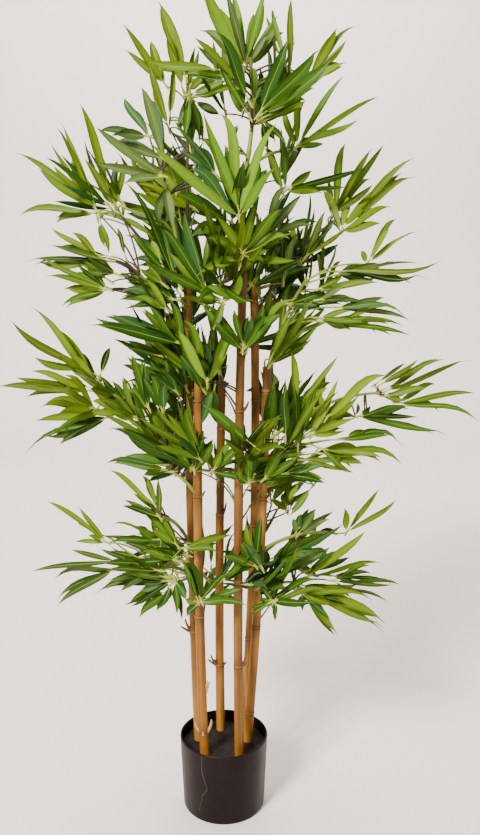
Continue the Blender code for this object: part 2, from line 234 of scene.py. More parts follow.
def make_piece(
    name: str, surface: Surface, materials: Sequence[Material],
    nodes: Sequence[str], sharp_deg: float = PLAIN_SHARP,
) -> bpy.types.Object:
    """Makes a shown piece of a surface and ties it to the frame.

    Args:
        name: The piece's name.
        surface: Its mesh in arrays, closed and facing outward or wholly inward.
        materials: Its materials, in the order of the surface's finish numbers.
        nodes: The CAD nodes that it stands for.
        sharp_deg: Edges that turn more than this are kept sharp.

    Returns:
        The new object.
    """
    mesh = bpy.data.meshes.new(name)
    corners = surface.points[surface.tris] if len(surface.tris) else np.zeros((0, 3, 3))
    square = surface.points[surface.quads]
    volume = np.einsum("ij,ij->i", corners[:, 0], np.cross(corners[:, 1], corners[:, 2])).sum()
    for a, b, c in ((0, 1, 2), (0, 2, 3)):
        volume += np.einsum("ij,ij->i", square[:, a], np.cross(square[:, b], square[:, c])).sum()
    quads, tris = surface.quads, surface.tris
    if volume < 0.0:
        quads, tris = quads[:, ::-1], tris[:, ::-1]
    mesh.from_pydata(surface.points.tolist(), [], quads.tolist() + tris.tolist())
    for material in materials:
        mesh.materials.append(material)
    finish = np.concatenate([surface.quad_finish, surface.tri_finish]).astype(np.int32)
    mesh.polygons.foreach_set("material_index", finish)
    layer = mesh.uv_layers.new(name=PATTERN)
    loop_points = np.empty(len(mesh.loops), np.int32)
    mesh.loops.foreach_get("vertex_index", loop_points)
    layer.data.foreach_set("uv", surface.pattern[loop_points].astype(np.float32).ravel())
    mesh.shade_smooth()
    mesh.set_sharp_from_angle(angle=math.radians(sharp_deg))
    mesh.update()
    piece = bpy.data.objects.new(name, mesh)
    bpy.context.scene.collection.objects.link(piece)
    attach(piece, "root")
    if nodes:
        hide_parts(*nodes)
    LOG.info("%s: %d faces", name, len(mesh.polygons))
    return piece


# ---------------------------------------------------------------- finishes

# Input and output numbers of the mix node when it mixes colours.
MIX_SHARE, MIX_FIRST, MIX_SECOND, MIX_RESULT = 0, 6, 7, 2
# The values between which a noise pattern mostly lies.
NOISE_SPAN: Span = (0.3, 0.7)


class Mix(Enum):
    """Ways to lay one colour on another."""

    COVER = "MIX"
    ADD = "ADD"


@dataclass(frozen=True)
class Marks:
    """Streaks, blotches or specks that a noise pattern lays on a finish.

    Attributes:
        scale: The noise's scale along each axis, or one scale for all.
        detail: Its octaves of detail.
        share: Share of a full mark.
        span: Noise values where a mark starts and where it is full.
    """

    scale: Place | float
    detail: float
    share: float = 1.0
    span: Span = NOISE_SPAN


class NodeBoard:
    """A material's nodes, with short ways to add and join them."""

    def __init__(self, name: str) -> None:
        """Makes a Principled material.

        Args:
            name: The material's name.
        """
        self.material = bpy.data.materials.new(name)
        self.material.use_nodes = True
        self.tree = self.material.node_tree
        self.shader = self.tree.nodes["Principled BSDF"]

    def add(self, kind: str, **settings: object) -> bpy.types.Node:
        """Adds a node.

        Args:
            kind: The node's type name.
            **settings: Properties to set on it.

        Returns:
            The new node.
        """
        node = self.tree.nodes.new(kind)
        for key, value in settings.items():
            setattr(node, key, value)
        return node

    def join(self, source: Socket, target: Socket) -> None:
        """Links an output to an input."""
        self.tree.links.new(source, target)

    def object_place(self) -> Socket:
        """The object's own coordinates."""
        return self.add("ShaderNodeTexCoord").outputs["Object"]

    def pattern(self) -> Socket:
        """The mesh's pattern coordinates."""
        return self.add("ShaderNodeUVMap", uv_map=PATTERN).outputs["UV"]

    def axes(self, vector: Socket) -> tuple[Socket, ...]:
        """The X, Y and Z of a vector, apart."""
        node = self.add("ShaderNodeSeparateXYZ")
        self.join(vector, node.inputs[0])
        return tuple(node.outputs)

    def noise(self, scale: Place | float, detail: float, source: Socket | None = None) -> Socket:
        """A noise pattern.

        Args:
            scale: Its scale along each axis, or one scale for all.
            detail: Octaves of detail.
            source: Its coordinates, the object's own where none are given.

        Returns:
            The pattern's value, about 0.5 on average.
        """
        if source is None:
            source = self.object_place()
        mapping = self.add("ShaderNodeMapping")
        mapping.inputs["Scale"].default_value = scale if isinstance(scale, tuple) else (scale,) * 3
        self.join(source, mapping.inputs["Vector"])
        node = self.add("ShaderNodeTexNoise")
        node.inputs["Scale"].default_value = 1.0
        node.inputs["Detail"].default_value = detail
        self.join(mapping.outputs["Vector"], node.inputs["Vector"])
        return node.outputs["Fac"]

    def remap(self, value: Socket, span: Span, low: float = 0.0, high: float = 1.0) -> Socket:
        """Maps a span of a value evenly to low..high, and holds it there outside the span.

        Args:
            value: The value.
            span: The values that give low and high.
            low: Result at the span's start.
            high: Result at its end.

        Returns:
            The mapped value.
        """
        node = self.add("ShaderNodeMapRange")
        for key, limit in zip(("From Min", "From Max", "To Min", "To Max"), (*span, low, high)):
            node.inputs[key].default_value = limit
        self.join(value, node.inputs["Value"])
        return node.outputs["Result"]

    def spread(self, noise: Socket, low: float, high: float) -> Socket:
        """Maps the values between which a noise pattern mostly lies to low..high."""
        return self.remap(noise, NOISE_SPAN, low, high)

    def marks(self, marks: Marks, source: Socket | None = None) -> tuple[Socket, Socket]:
        """The noise of some marks, and their share at each place."""
        noise = self.noise(marks.scale, marks.detail, source)
        return noise, self.remap(noise, marks.span, 0.0, marks.share)

    def reckon(self, operation: str, first: Socket, second: float = 0.0) -> Socket:
        """One step of arithmetic.

        Args:
            operation: The step's name.
            first: Its first value.
            second: Its second value, where it takes one.

        Returns:
            The result.
        """
        node = self.add("ShaderNodeMath", operation=operation)
        self.join(first, node.inputs[0])
        node.inputs[1].default_value = second
        return node.outputs[0]

    def blend(
        self, share: Socket | float, first: Socket | Colour, second: Socket | Colour, how: Mix = Mix.COVER,
    ) -> Socket:
        """Mixes two colours.

        Args:
            share: Share of the second.
            first: A colour or its socket.
            second: A colour or its socket.
            how: How the second is laid on the first.

        Returns:
            The mixed colour.
        """
        node = self.add("ShaderNodeMix", data_type="RGBA", blend_type=how.value)
        for value, number in ((share, MIX_SHARE), (first, MIX_FIRST), (second, MIX_SECOND)):
            if isinstance(value, Socket):
                self.join(value, node.inputs[number])
            elif isinstance(value, tuple):
                node.inputs[number].default_value = (*value, 1.0)
            else:
                node.inputs[number].default_value = value
        return node.outputs[MIX_RESULT]

    def bump(self, height: Socket, strength: float, depth: float) -> None:
        """Adds relief to the shader's normal.

        Args:
            height: The relief's pattern.
            strength: Its strength.
            depth: Its depth in metres.
        """
        node = self.add("ShaderNodeBump")
        node.inputs["Strength"].default_value = strength
        node.inputs["Distance"].default_value = depth
        self.join(height, node.inputs["Height"])
        self.join(node.outputs["Normal"], self.shader.inputs["Normal"])

    def finished(self, colour: Socket, roughness: Socket, **values: float) -> Material:
        """Joins colour and roughness to the shader and sets its constants.

        Args:
            colour: The base colour.
            roughness: The roughness.
            **values: Constants for the shader's other inputs, named with _ for a space.

        Returns:
            The finished material.
        """
        self.join(colour, self.shader.inputs["Base Color"])
        self.join(roughness, self.shader.inputs["Roughness"])
        for key, value in values.items():
            self.shader.inputs[key.replace("_", " ")].default_value = value
        return self.material


@dataclass(frozen=True)
class CaneFinish:
    """Lacquered bamboo cane: tan below and redder above, streaked along its length.

    Its colour goes from low to high between the two heights, darker by shade all over. Streaks and the
    brown round a node have the colour streak, and pale blotches have lit. The brown is full within the
    first of node_span from a node and ends at the second, and node_share is its full strength. Relief is
    the depth of the grain, and rough_span is the least and the greatest roughness.
    """

    name: str
    shade: float
    low: Colour = (0.255, 0.094, 0.0085)
    high: Colour = (0.145, 0.054, 0.0040)
    streak: Colour = (0.080, 0.035, 0.0055)
    lit: Colour = (0.44, 0.20, 0.030)
    heights: Span = (0.12, 0.72)
    streaks: Marks = Marks((230.0, 230.0, 4.0), 4.0, 0.75, (0.44, 0.64))
    blotches: Marks = Marks((60.0, 60.0, 7.0), 3.0, 0.55, (0.46, 0.66))
    grain: Marks = Marks((900.0, 900.0, 30.0), 2.0)
    relief: float = 0.0004
    node_span: Span = (0.003, 0.022)
    node_share: float = 0.60
    rough_span: Span = (0.38, 0.58)

    def material(self) -> Material:
        """The cane's skin.

        Returns:
            A material with a height gradient, lengthwise streaks, blotches and fine grain.
        """
        board = NodeBoard(self.name)
        height = board.axes(board.object_place())[2]
        base = board.blend(board.remap(height, self.heights), self.low, self.high)
        dark = board.marks(self.streaks)[1]
        blotches, light = board.marks(self.blotches)
        lit = board.blend(light, board.blend(dark, base, self.streak), self.lit)
        shaded = board.blend(self.shade, lit, self.streak)
        from_node = board.axes(board.pattern())[0]
        near = board.remap(from_node, self.node_span, self.node_share, 0.0)
        board.bump(board.marks(self.grain)[0], 0.35, self.relief)
        return board.finished(
            board.blend(near, shaded, self.streak), board.spread(blotches, *self.rough_span),
            Coat_Weight=0.04, Coat_Roughness=0.30, Specular_IOR_Level=0.20,
        )


@dataclass(frozen=True)
class PlainFinish:
    """A moulded or natural surface of one colour that wanders a little in shade and roughness.

    Shade is its darker colour. Grain is the scale of its fine pattern, and cloud_share is that of its
    clouds, as a share of the grain. Relief is a depth in metres, specular is the gloss, and rough_swing
    is how far the roughness goes each way from its mean.
    """

    name: str
    colour: Colour
    shade: Colour
    roughness: float
    grain: float
    relief: float
    specular: float = 0.45
    cloud_share: float = 0.2
    rough_swing: float = 0.06

    def material(self) -> Material:
        """The finish as a material.

        Returns:
            A material with cloudy shade, cloudy roughness and fine relief.
        """
        board = NodeBoard(self.name)
        clouds = board.noise(self.grain * self.cloud_share, 3.0)
        board.bump(board.noise(self.grain, 4.0), 0.5, self.relief)
        return board.finished(
            board.blend(board.spread(clouds, 0.0, 1.0), self.shade, self.colour),
            board.spread(clouds, self.roughness + self.rough_swing, self.roughness - self.rough_swing),
            Specular_IOR_Level=self.specular,
        )


@dataclass(frozen=True)
class PotFinish:
    """Satin black moulded plastic with upright rub marks and dust specks.

    Scuffed is its colour where it is rubbed, and dust is what a speck adds to it. Relief is the depth of
    the moulded grain, and rough_span is the least and the greatest roughness.
    """

    name: str = "pot plastic"
    colour: Colour = (0.0050, 0.0023, 0.0025)
    scuffed: Colour = (0.011, 0.0062, 0.0062)
    dust: Colour = (0.012, 0.010, 0.010)
    rubs: Marks = Marks((70.0, 70.0, 6.0), 4.0, 0.55)
    specks: Marks = Marks(420.0, 5.0, 1.0, (0.66, 0.74))
    relief: float = 0.0002
    rough_span: Span = (0.32, 0.48)

    def material(self) -> Material:
        """The pot's plastic.

        Returns:
            A material with upright rub streaks, dust specks and moulded grain.
        """
        board = NodeBoard(self.name)
        rubs, rubbed = board.marks(self.rubs)
        specks, specked = board.marks(self.specks)
        dusty = board.blend(specked, board.blend(rubbed, self.colour, self.scuffed), self.dust, Mix.ADD)
        board.bump(specks, 0.25, self.relief)
        return board.finished(dusty, board.spread(rubs, *self.rough_span), Specular_IOR_Level=0.115)


@dataclass(frozen=True)
class LeafFinish:
    """Printed leaf cloth of one tint: veined along its length, and lighter or darker leaf by leaf.

    Pale is the colour of its lighter patches. The margin starts and is full at margin_span off the rib,
    where the leaf's edge is at 0.4, and takes the colour to margin_shade of itself, by margin_share. The
    dry tip starts and is full at tip_span along the leaf, by tip_share. Relief is the depth of the veins,
    and rough_swing is how far the roughness goes each way from its mean.
    """

    name: str
    colour: Colour
    pale: Colour
    roughness: float = 0.45
    rough_swing: float = 0.07
    veins: Marks = Marks((2.2, 24.0, 1.0), 2.0, 0.35)
    patches: Marks = Marks(30.0, 3.0, 0.30)
    margin_span: Span = (0.20, 0.42)
    margin_share: float = 0.55
    margin_shade: float = 0.45
    tip_span: Span = (0.84, 1.02)
    tip_share: float = 0.75
    dry: Colour = (0.075, 0.045, 0.012)
    relief: float = 0.0003

    def material(self) -> Material:
        """The leaf cloth.

        The pattern's first coordinate runs from a leaf's base to its tip. The second runs from 0.1 to
        0.9 across it, with the rib at 0.5, plus the leaf's whole number.

        Returns:
            A material with soft patches, veins side by side, a shade of each leaf's own, darker margins
            and a dry tip.
        """
        board = NodeBoard(self.name)
        pattern = board.pattern()
        veins, veined = board.marks(self.veins, pattern)
        patches, patched = board.marks(self.patches)
        along, across, _ = board.axes(pattern)
        dice = board.add("ShaderNodeTexWhiteNoise", noise_dimensions="1D")
        board.join(board.reckon("FLOOR", across), dice.inputs["W"])
        base = board.blend(dice.outputs["Value"], self.colour, self.pale)
        cloth = board.blend(veined, board.blend(patched, base, self.pale), self.colour)
        aside = board.reckon("SUBTRACT", board.reckon("FRACT", across), RIB_PATTERN)
        off_rib = board.reckon("ABSOLUTE", aside)
        margin = board.remap(off_rib, self.margin_span, 0.0, self.margin_share)
        edged = board.blend(margin, cloth, tuple(self.margin_shade * part for part in self.colour))
        browned = board.blend(board.remap(along, self.tip_span, 0.0, self.tip_share), edged, self.dry)
        board.bump(veins, 0.30, self.relief)
        return board.finished(
            browned,
            board.spread(patches, self.roughness - self.rough_swing, self.roughness + self.rough_swing),
            Specular_IOR_Level=0.10,
        )


class Tint(Enum):
    """The leaf tints that sprays are dealt."""

    DEEP = 0
    MIDDLE = 1
    FRESH = 2
    GREY = 3
    BLUE = 4
    OLIVE = 5
    VIVID = 6
    DUSK = 7


DEEP, MIDDLE, FRESH, GREY, BLUE, OLIVE, VIVID, DUSK = Tint

LEAF_FINISHES: dict[Tint, LeafFinish] = {
    DEEP: LeafFinish("leaf deep green", (0.0090, 0.037, 0.0014), (0.048, 0.111, 0.0038), 0.42),
    MIDDLE: LeafFinish("leaf middle green", (0.032, 0.078, 0.0014), (0.096, 0.157, 0.0044)),
    FRESH: LeafFinish("leaf fresh green", (0.063, 0.116, 0.0010), (0.143, 0.198, 0.0026)),
    GREY: LeafFinish("leaf grey green", (0.036, 0.068, 0.012), (0.098, 0.145, 0.032), 0.50),
    BLUE: LeafFinish("leaf blue green", (0.012, 0.048, 0.007), (0.040, 0.104, 0.020)),
    OLIVE: LeafFinish("leaf olive", (0.043, 0.068, 0.0012), (0.101, 0.135, 0.0032)),
    VIVID: LeafFinish("leaf vivid green", (0.050, 0.130, 0.0018), (0.135, 0.235, 0.0070)),
    DUSK: LeafFinish("leaf dusky green", (0.0100, 0.027, 0.0016), (0.048, 0.084, 0.0060)),
}
RIB_FINISH = PlainFinish("leaf rib", (0.15, 0.235, 0.020), (0.075, 0.140, 0.008), 0.50, 90.0, 0.0001, 0.2)
TWIG_FINISH = PlainFinish(
    "green twig", (0.21, 0.26, 0.020), (0.095, 0.130, 0.010), 0.45, 120.0, 0.0002, 0.3
)
BROWN_TWIG_FINISH = PlainFinish(
    "brown twig", (0.060, 0.040, 0.010), (0.025, 0.019, 0.005), 0.50, 120.0, 0.0003, 0.3
)
COLLAR_FINISH = PlainFinish(
    "pale collar", (0.37, 0.41, 0.060), (0.20, 0.25, 0.022), 0.42, 90.0, 0.0002, 0.3
)
# Pale band on each node's ridge: partly the ridge's own colour, partly a painted highlight.
RIDGE_AND_HIGHLIGHT_FINISH = PlainFinish(
    "cane ridge and painted highlight", (0.25, 0.100, 0.012), (0.12, 0.045, 0.006), 0.50, 160.0, 0.0003, 0.2
)
# Dark bands under and over each node's ridge: partly the sheath scar's own colour, partly painted shadow.
SCAR_AND_SHADOW_FINISH = PlainFinish(
    "cane scar and painted shadow", (0.120, 0.048, 0.008), (0.060, 0.025, 0.005), 0.60, 160.0, 0.0003, 0.2
)
CUT_FINISH = PlainFinish("cut cane end", (0.40, 0.23, 0.09), (0.20, 0.10, 0.035), 0.8, 300.0, 0.0004)
STUB_FINISH = PlainFinish("dry stub", (0.50, 0.29, 0.11), (0.24, 0.11, 0.030), 0.65, 200.0, 0.0004, 0.2)
DARK_STUB_FINISH = PlainFinish(
    "dark stub", (0.15, 0.072, 0.018), (0.065, 0.028, 0.008), 0.65, 200.0, 0.0004, 0.2
)
SCRATCH_FINISH = PlainFinish("scratch", (0.17, 0.145, 0.135), (0.075, 0.062, 0.060), 0.6, 300.0, 0.0001)
FILLING_FINISH = PlainFinish(
    "pot filling", (0.015, 0.0085, 0.0065), (0.006, 0.0038, 0.0030), 0.80, 260.0, 0.0010, 0.20
)
FLOOR_FINISH = PlainFinish(
    "pale floor", (0.785, 0.715, 0.645), (0.765, 0.695, 0.625), 0.85, 3.0, 0.0, 0.2
)


# ---------------------------------------------------------------- pot

POT_STEPS = 128
POT_INSIDE_RINGS = 10
POT_LIP_STEPS = 9
POT_BAND_RINGS = 5
POT_SIDE_RINGS = 14
POT_FOOT_STEPS = 7
SCRATCH_HEIGHTS = (0.114, 0.091, 0.059, 0.043, 0.017)
SCRATCH_BEARINGS = (242.0, 241.5, 248.0, 240.0, 235.6)
SCRATCH_RADII: Span = (0.00021, 0.00013)
SCRATCH_SUNK = 0.00002
SCRATCH_POINTS = 36
SCRATCH_SIDES = 5


@dataclass(frozen=True)
class Pot:
    """The small black pot, turned round the upright axis.

    The radii are outside ones, at the rim and at the foot before its rounding. Band says how far below
    the rim the close rings start and end, and side how far below it the wider ones start.
    """

    height: float = 0.117
    rim_radius: float = 0.070
    base_radius: float = 0.065
    wall: float = 0.0025
    floor: float = 0.004
    foot_round: float = 0.004
    band: Span = (0.003, 0.0075)
    side: float = 0.009

    def outside(self, height: Array | float) -> Array:
        """Outside radius at a height, leaning evenly out to the rim."""
        lean = (self.rim_radius - self.base_radius) / self.height
        return self.base_radius + lean * np.asarray(height)

    def profile(self) -> Array:
        """The half section, up the inside, over the rounded rim, down the outside and to the axis.

        Returns:
            Radius and height pairs.
        """
        half = 0.5 * self.wall
        inside = np.linspace(self.floor, self.height - half, POT_INSIDE_RINGS)
        turn = np.linspace(math.pi, 0.0, POT_LIP_STEPS)[1:]
        outside = np.concatenate([
            np.linspace(self.height - self.band[0], self.height - self.band[1], POT_BAND_RINGS),
            np.linspace(self.height - self.side, self.foot_round, POT_SIDE_RINGS),
        ])
        foot_turn = np.linspace(0.0, 0.5 * math.pi, POT_FOOT_STEPS)[1:]
        middle = self.outside(self.height) - half
        foot = self.outside(self.foot_round) - self.foot_round * (1.0 - np.cos(foot_turn))
        radius = np.concatenate([
            [0.0], self.outside(inside) - self.wall, middle + half * np.cos(turn), self.outside(outside),
            foot, [0.0],
        ])
        height = np.concatenate([
            [self.floor], inside, self.height - half + half * np.sin(turn), outside,
            self.foot_round * (1.0 - np.sin(foot_turn)), [0.0],
        ])
        return np.stack([radius, height], axis=-1)

    def scratch(self) -> Surface:
        """The pale scratch that wanders down the front, as a hair-thin raised line.

        Returns:
            A thin closed tube that lies on the wall.
        """
        turns = range(len(SCRATCH_HEIGHTS))
        height = np.linspace(SCRATCH_HEIGHTS[0], SCRATCH_HEIGHTS[-1], SCRATCH_POINTS)
        step = np.interp(-height, [-level for level in SCRATCH_HEIGHTS], turns)
        eased = np.floor(step) + smooth_step(step - np.floor(step))
        bearing = np.radians(np.interp(eased, turns, SCRATCH_BEARINGS))
        radius = self.outside(height) - SCRATCH_SUNK
        path = np.stack([radius * np.cos(bearing), radius * np.sin(bearing), height], axis=-1)
        return tubes(path[None], np.linspace(*SCRATCH_RADII, SCRATCH_POINTS)[None], SCRATCH_SIDES)

    def build(self) -> None:
        """Makes the pot and its scratch."""
        wall = turned(self.profile(), POT_STEPS)
        make_piece("pot_wall", wall, [PotFinish().material()], ["pot"], POT_SHARP)
        make_piece("pot_scratch", self.scratch(), [SCRATCH_FINISH.material()], [])


FILLING_TOP = 0.100
FILLING_RINGS = 22
FILLING_STEPS = 96


@dataclass(frozen=True)
class Filling:
    """The dark filling that holds the canes, a little uneven on top.

    Radius is at the top, and narrowing is how much less it is halfway down and at the underside. The
    surface wanders up and down by unevenness, and points less than edge under it wander with it.
    """

    top: float = FILLING_TOP
    bottom: float = 0.0045
    radius: float = 0.0662
    narrowing: Span = (0.0040, 0.0046)
    unevenness: float = 0.0009
    edge: float = 0.001

    def build(self) -> None:
        """Makes the filling: a turned block whose top is stirred by three crossing waves.

        The top sinks by unevenness times (1 + w / 2) / 2, where w is sin(310 x + 1) cos(270 y)
        + 0.6 sin(340 x + 620 y) + 0.4 cos(980 x - 700 y).
        """
        reach = np.linspace(0.0, self.radius, FILLING_RINGS)[1:]
        top = np.stack([reach, np.full(len(reach), self.top)], axis=-1)
        halfway, under = self.narrowing
        side = np.array([[self.radius - halfway, 0.5 * self.top], [self.radius - under, self.bottom]])
        profile = np.concatenate([[[0.0, self.top]], top, side, [[0.0, self.bottom]]])
        surface = turned(profile, FILLING_STEPS)
        x, y, z = surface.points.T
        wave = (
            np.sin(310.0 * x + 1.0) * np.cos(270.0 * y)
            + 0.6 * np.sin(620.0 * y + 340.0 * x)
            + 0.4 * np.cos(980.0 * x - 700.0 * y)
        )
        sunk = self.unevenness * 0.5 * (1.0 + 0.5 * wave)
        surface.points[:, 2] -= np.where(z > self.top - self.edge, sunk, 0.0)
        make_piece("filling", surface, [FILLING_FINISH.material()], ["pot_filling"])


# ---------------------------------------------------------------- canes

CANE_SEED = 20
CANE_FOOT_Z = 0.030
CANE_FOOT_RADIUS = 0.0076
CANE_TOP_RADIUS = 0.0064
CANE_SIDES = 28
# Rings stand this far apart, and closer from 4.5 mm under each node to 5.5 mm over it.
CANE_RING_STEP = 0.006
NODE_REACH: Span = (-0.0045, 0.0055)
NODE_RINGS = 15
HEIGHT_DIGITS = 5
# Each swelling at a node: its height over the node, its half width and its rise.
NODE_RELIEF = ((0.0014, 0.0019, 0.00070), (-0.0014, 0.0008, -0.00045), (-0.0038, 0.0018, 0.00030))
CANE_WANDER = 0.00010
CANE_RIBS = 0.00006
FLAT_DEPTH = 0.00075
FLAT_START = 0.006
FLAT_END = 0.12
CUT_BEVEL = 0.0004
CUT_HOLLOW = 0.0012
# Place on the pattern that lies beyond every node's brown.
FAR_FROM_NODE = (0.1, 0.0)
STUB_KNOTS = np.array([1.15, 1.0, 0.95, 1.10, 0.95, 0.92, 1.08, 0.95, 0.85])
STUB_RADII: Span = (0.0030, 0.0013)
DARK_STUB_RADII: Span = (0.0026, 0.0011)
STUB_START = 0.55
STUB_ROOT = 0.0035
STUB_ARCH = 0.10
STUB_SIDES = 8


class CanePart(Enum):
    """The parts of a cane, numbered in the order of its finishes."""

    SKIN = 0
    RIDGE = 1
    SCAR = 2
    CUT = 3
    STUB = 4
    DARK_STUB = 5


# Each coloured band at a node: its middle over the node, its half width and its part. The pale band on
# the ridge is partly a painted highlight, and the dark bands under and over it are partly painted shadow.
NODE_BANDS = (
    (0.0014, 0.0013, CanePart.RIDGE), (-0.0012, 0.0009, CanePart.SCAR), (0.0036, 0.0006, CanePart.SCAR),
)


@dataclass(frozen=True)
class Stub:
    """A short dry stub where a twig once left a cane, either pale or dark and thin.

    Height is its foot's, bearing is in degrees, and its end stands rise above the foot and reach out.
    """

    height: float
    bearing: float
    rise: float
    reach: float
    dark: bool = False


@dataclass(frozen=True)
class Cane:
    """One cane with its nodes, its flat cut top and its dry twig stubs.

    Foot is X and Y where it leaves the filling, top is the middle of the cut, and bow is X and Y by which
    its middle stands off the chord. Nodes are heights, and shade is the share by which it is darker than
    the palest cane.
    """

    name: str
    foot: Span
    top: Place
    bow: Span
    nodes: tuple[float, ...]
    stubs: tuple[Stub, ...]
    shade: float

    def axis(self, height: Array) -> Array:
        """The axis at some heights: the chord plus 4 s (1 - s) times the bow, straight below the filling.

        Args:
            height: Heights.

        Returns:
            Places on the axis.
        """
        height = np.atleast_1d(np.asarray(height, float))
        share = (height - FILLING_TOP) / (self.top[2] - FILLING_TOP)
        bowed = np.where(share > 0.0, 4.0 * share * (1.0 - share), 4.0 * share)
        x = self.foot[0] + (self.top[0] - self.foot[0]) * share + self.bow[0] * bowed
        y = self.foot[1] + (self.top[1] - self.foot[1]) * share + self.bow[1] * bowed
        return np.stack([x, y, height], axis=-1)

    def radius(self, height: Array) -> Array:
        """Radius between nodes, thinning evenly from the foot to the top."""
        share = (height - CANE_FOOT_Z) / (self.top[2] - CANE_FOOT_Z)
        return CANE_FOOT_RADIUS + (CANE_TOP_RADIUS - CANE_FOOT_RADIUS) * share

    def ring_heights(self) -> Array:
        """Heights of the rings, evenly spaced, with more at each node and two at the cut."""
        even = np.arange(CANE_FOOT_Z, self.top[2], CANE_RING_STEP)
        close = [node + offset for node in self.nodes for offset in np.linspace(*NODE_REACH, NODE_RINGS)]
        cut = [self.top[2] - CUT_BEVEL, self.top[2]]
        height = np.unique(np.round(np.concatenate([even, close, cut]), HEIGHT_DIGITS))
        return height[height <= self.top[2]]

    def relief(self, height: Array, angle: Array) -> Array:
        """The radius at a height and an angle.

        It is the taper, plus a wander and fine ribs, plus rise * exp(-(d / width)^2) for each of the
        three swellings at a node: a ridge over it, a groove under it and a low second ridge. A shallow
        flat, on one side of the cane and then the other, fades up the joint over each node. The last
        ring is a bevel narrower.

        Args:
            height: Heights.
            angle: Angles round the cane.

        Returns:
            The radii.
        """
        random = np.random.default_rng(CANE_SEED + len(self.nodes) + int(1000 * self.top[2]))
        radius = self.radius(height)
        radius = radius + CANE_WANDER * np.sin(angle * 2.0 + height * 9.0 + random.uniform(0.0, 6.0))
        radius = radius + CANE_RIBS * np.sin(angle * 11.0 + 3.0 * np.sin(height * 30.0))
        for number, node in enumerate(self.nodes):
            away = height - node
            for offset, width, rise in NODE_RELIEF:
                radius = radius + rise * np.exp(-((away - offset) / width) ** 2)
            flat_side = angle - (number * math.pi + random.uniform(-0.4, 0.4))
            facing = np.maximum(np.cos(flat_side), 0.0) ** 6
            fade = smooth_step(away / FLAT_START) * (1.0 - smooth_step(away / FLAT_END))
            radius = radius - FLAT_DEPTH * facing * fade
        return radius + np.where(height > self.top[2] - 0.5 * CUT_BEVEL, -CUT_BEVEL, 0.0)

    def surface(self) -> Surface:
        """The cane's skin as a grid of rings.

        The pattern's first coordinate is the distance to the nearest node.

        Returns:
            The closed surface, with node ridges and scars under their own finishes: the pale ridge band is
            partly a painted highlight, and the dark scar bands are partly painted shadow.
        """
        height = self.ring_heights()
        angle = np.linspace(0.0, 2.0 * math.pi, CANE_SIDES, endpoint=False)
        grid_h, grid_a = np.meshgrid(height, angle, indexing="ij")
        circle = np.stack([np.cos(grid_a), np.sin(grid_a), np.zeros_like(grid_a)], axis=-1)
        rim = self.axis(height)[:, None, :] + circle * self.relief(grid_h, grid_a)[..., None]
        poles = self.axis(np.array([CANE_FOOT_Z, self.top[2] - CUT_HOLLOW]))
        points = np.concatenate([poles[:1], rim.reshape(-1, 3), poles[1:]])
        quads, tris, _, _ = shell_faces(1, len(height), CANE_SIDES)
        middle = np.repeat(0.5 * (height[1:] + height[:-1]), CANE_SIDES)
        finish = np.full(len(quads), CanePart.SKIN.value)
        for node in self.nodes:
            for offset, reach, part in NODE_BANDS:
                finish = np.where(np.abs(middle - node - offset) < reach, part.value, finish)
        nearest = np.abs(grid_h[..., None] - np.array(self.nodes)).min(-1)
        rows = np.stack([nearest, grid_a], -1).reshape(-1, 2)
        pattern = np.concatenate([[FAR_FROM_NODE], rows, [FAR_FROM_NODE]])
        return Surface(points, quads, tris, finish, np.full(len(tris), CanePart.CUT.value), pattern)

    def stub_surfaces(self) -> list[Surface]:
        """The stubs, as knotty tapering tubes that curve up from inside the cane.

        Returns:
            One closed surface for each stub.
        """
        found = []
        for stub in self.stubs:
            turn = math.radians(stub.bearing)
            out = np.array([math.cos(turn), math.sin(turn), 0.0])
            height = np.array(stub.height)
            start = self.axis(height)[0] + out * (STUB_START * float(self.radius(height)))
            end = start + out * (stub.reach + STUB_ROOT) + UP * stub.rise
            bow = out * STUB_ARCH * stub.rise
            path = arc_paths(start[None], end[None], bow[None], len(STUB_KNOTS))
            taper = np.linspace(*(DARK_STUB_RADII if stub.dark else STUB_RADII), len(STUB_KNOTS)) * STUB_KNOTS
            part = CanePart.DARK_STUB if stub.dark else CanePart.STUB
            found.append(tubes(path, taper[None], STUB_SIDES, part.value))
        return found

    def build(self, materials: Sequence[Material]) -> None:
        """Makes the cane.

        Args:
            materials: Ridge with painted highlight, scar with painted shadow, cut end, pale stub and dark
                stub, in that order.
        """
        surface = join_surfaces([self.surface(), *self.stub_surfaces()])
        skin = CaneFinish(self.name.replace("_", " ") + " skin", self.shade).material()
        make_piece(self.name + "_skin", surface, [skin, *materials], [self.name], CANE_SHARP)


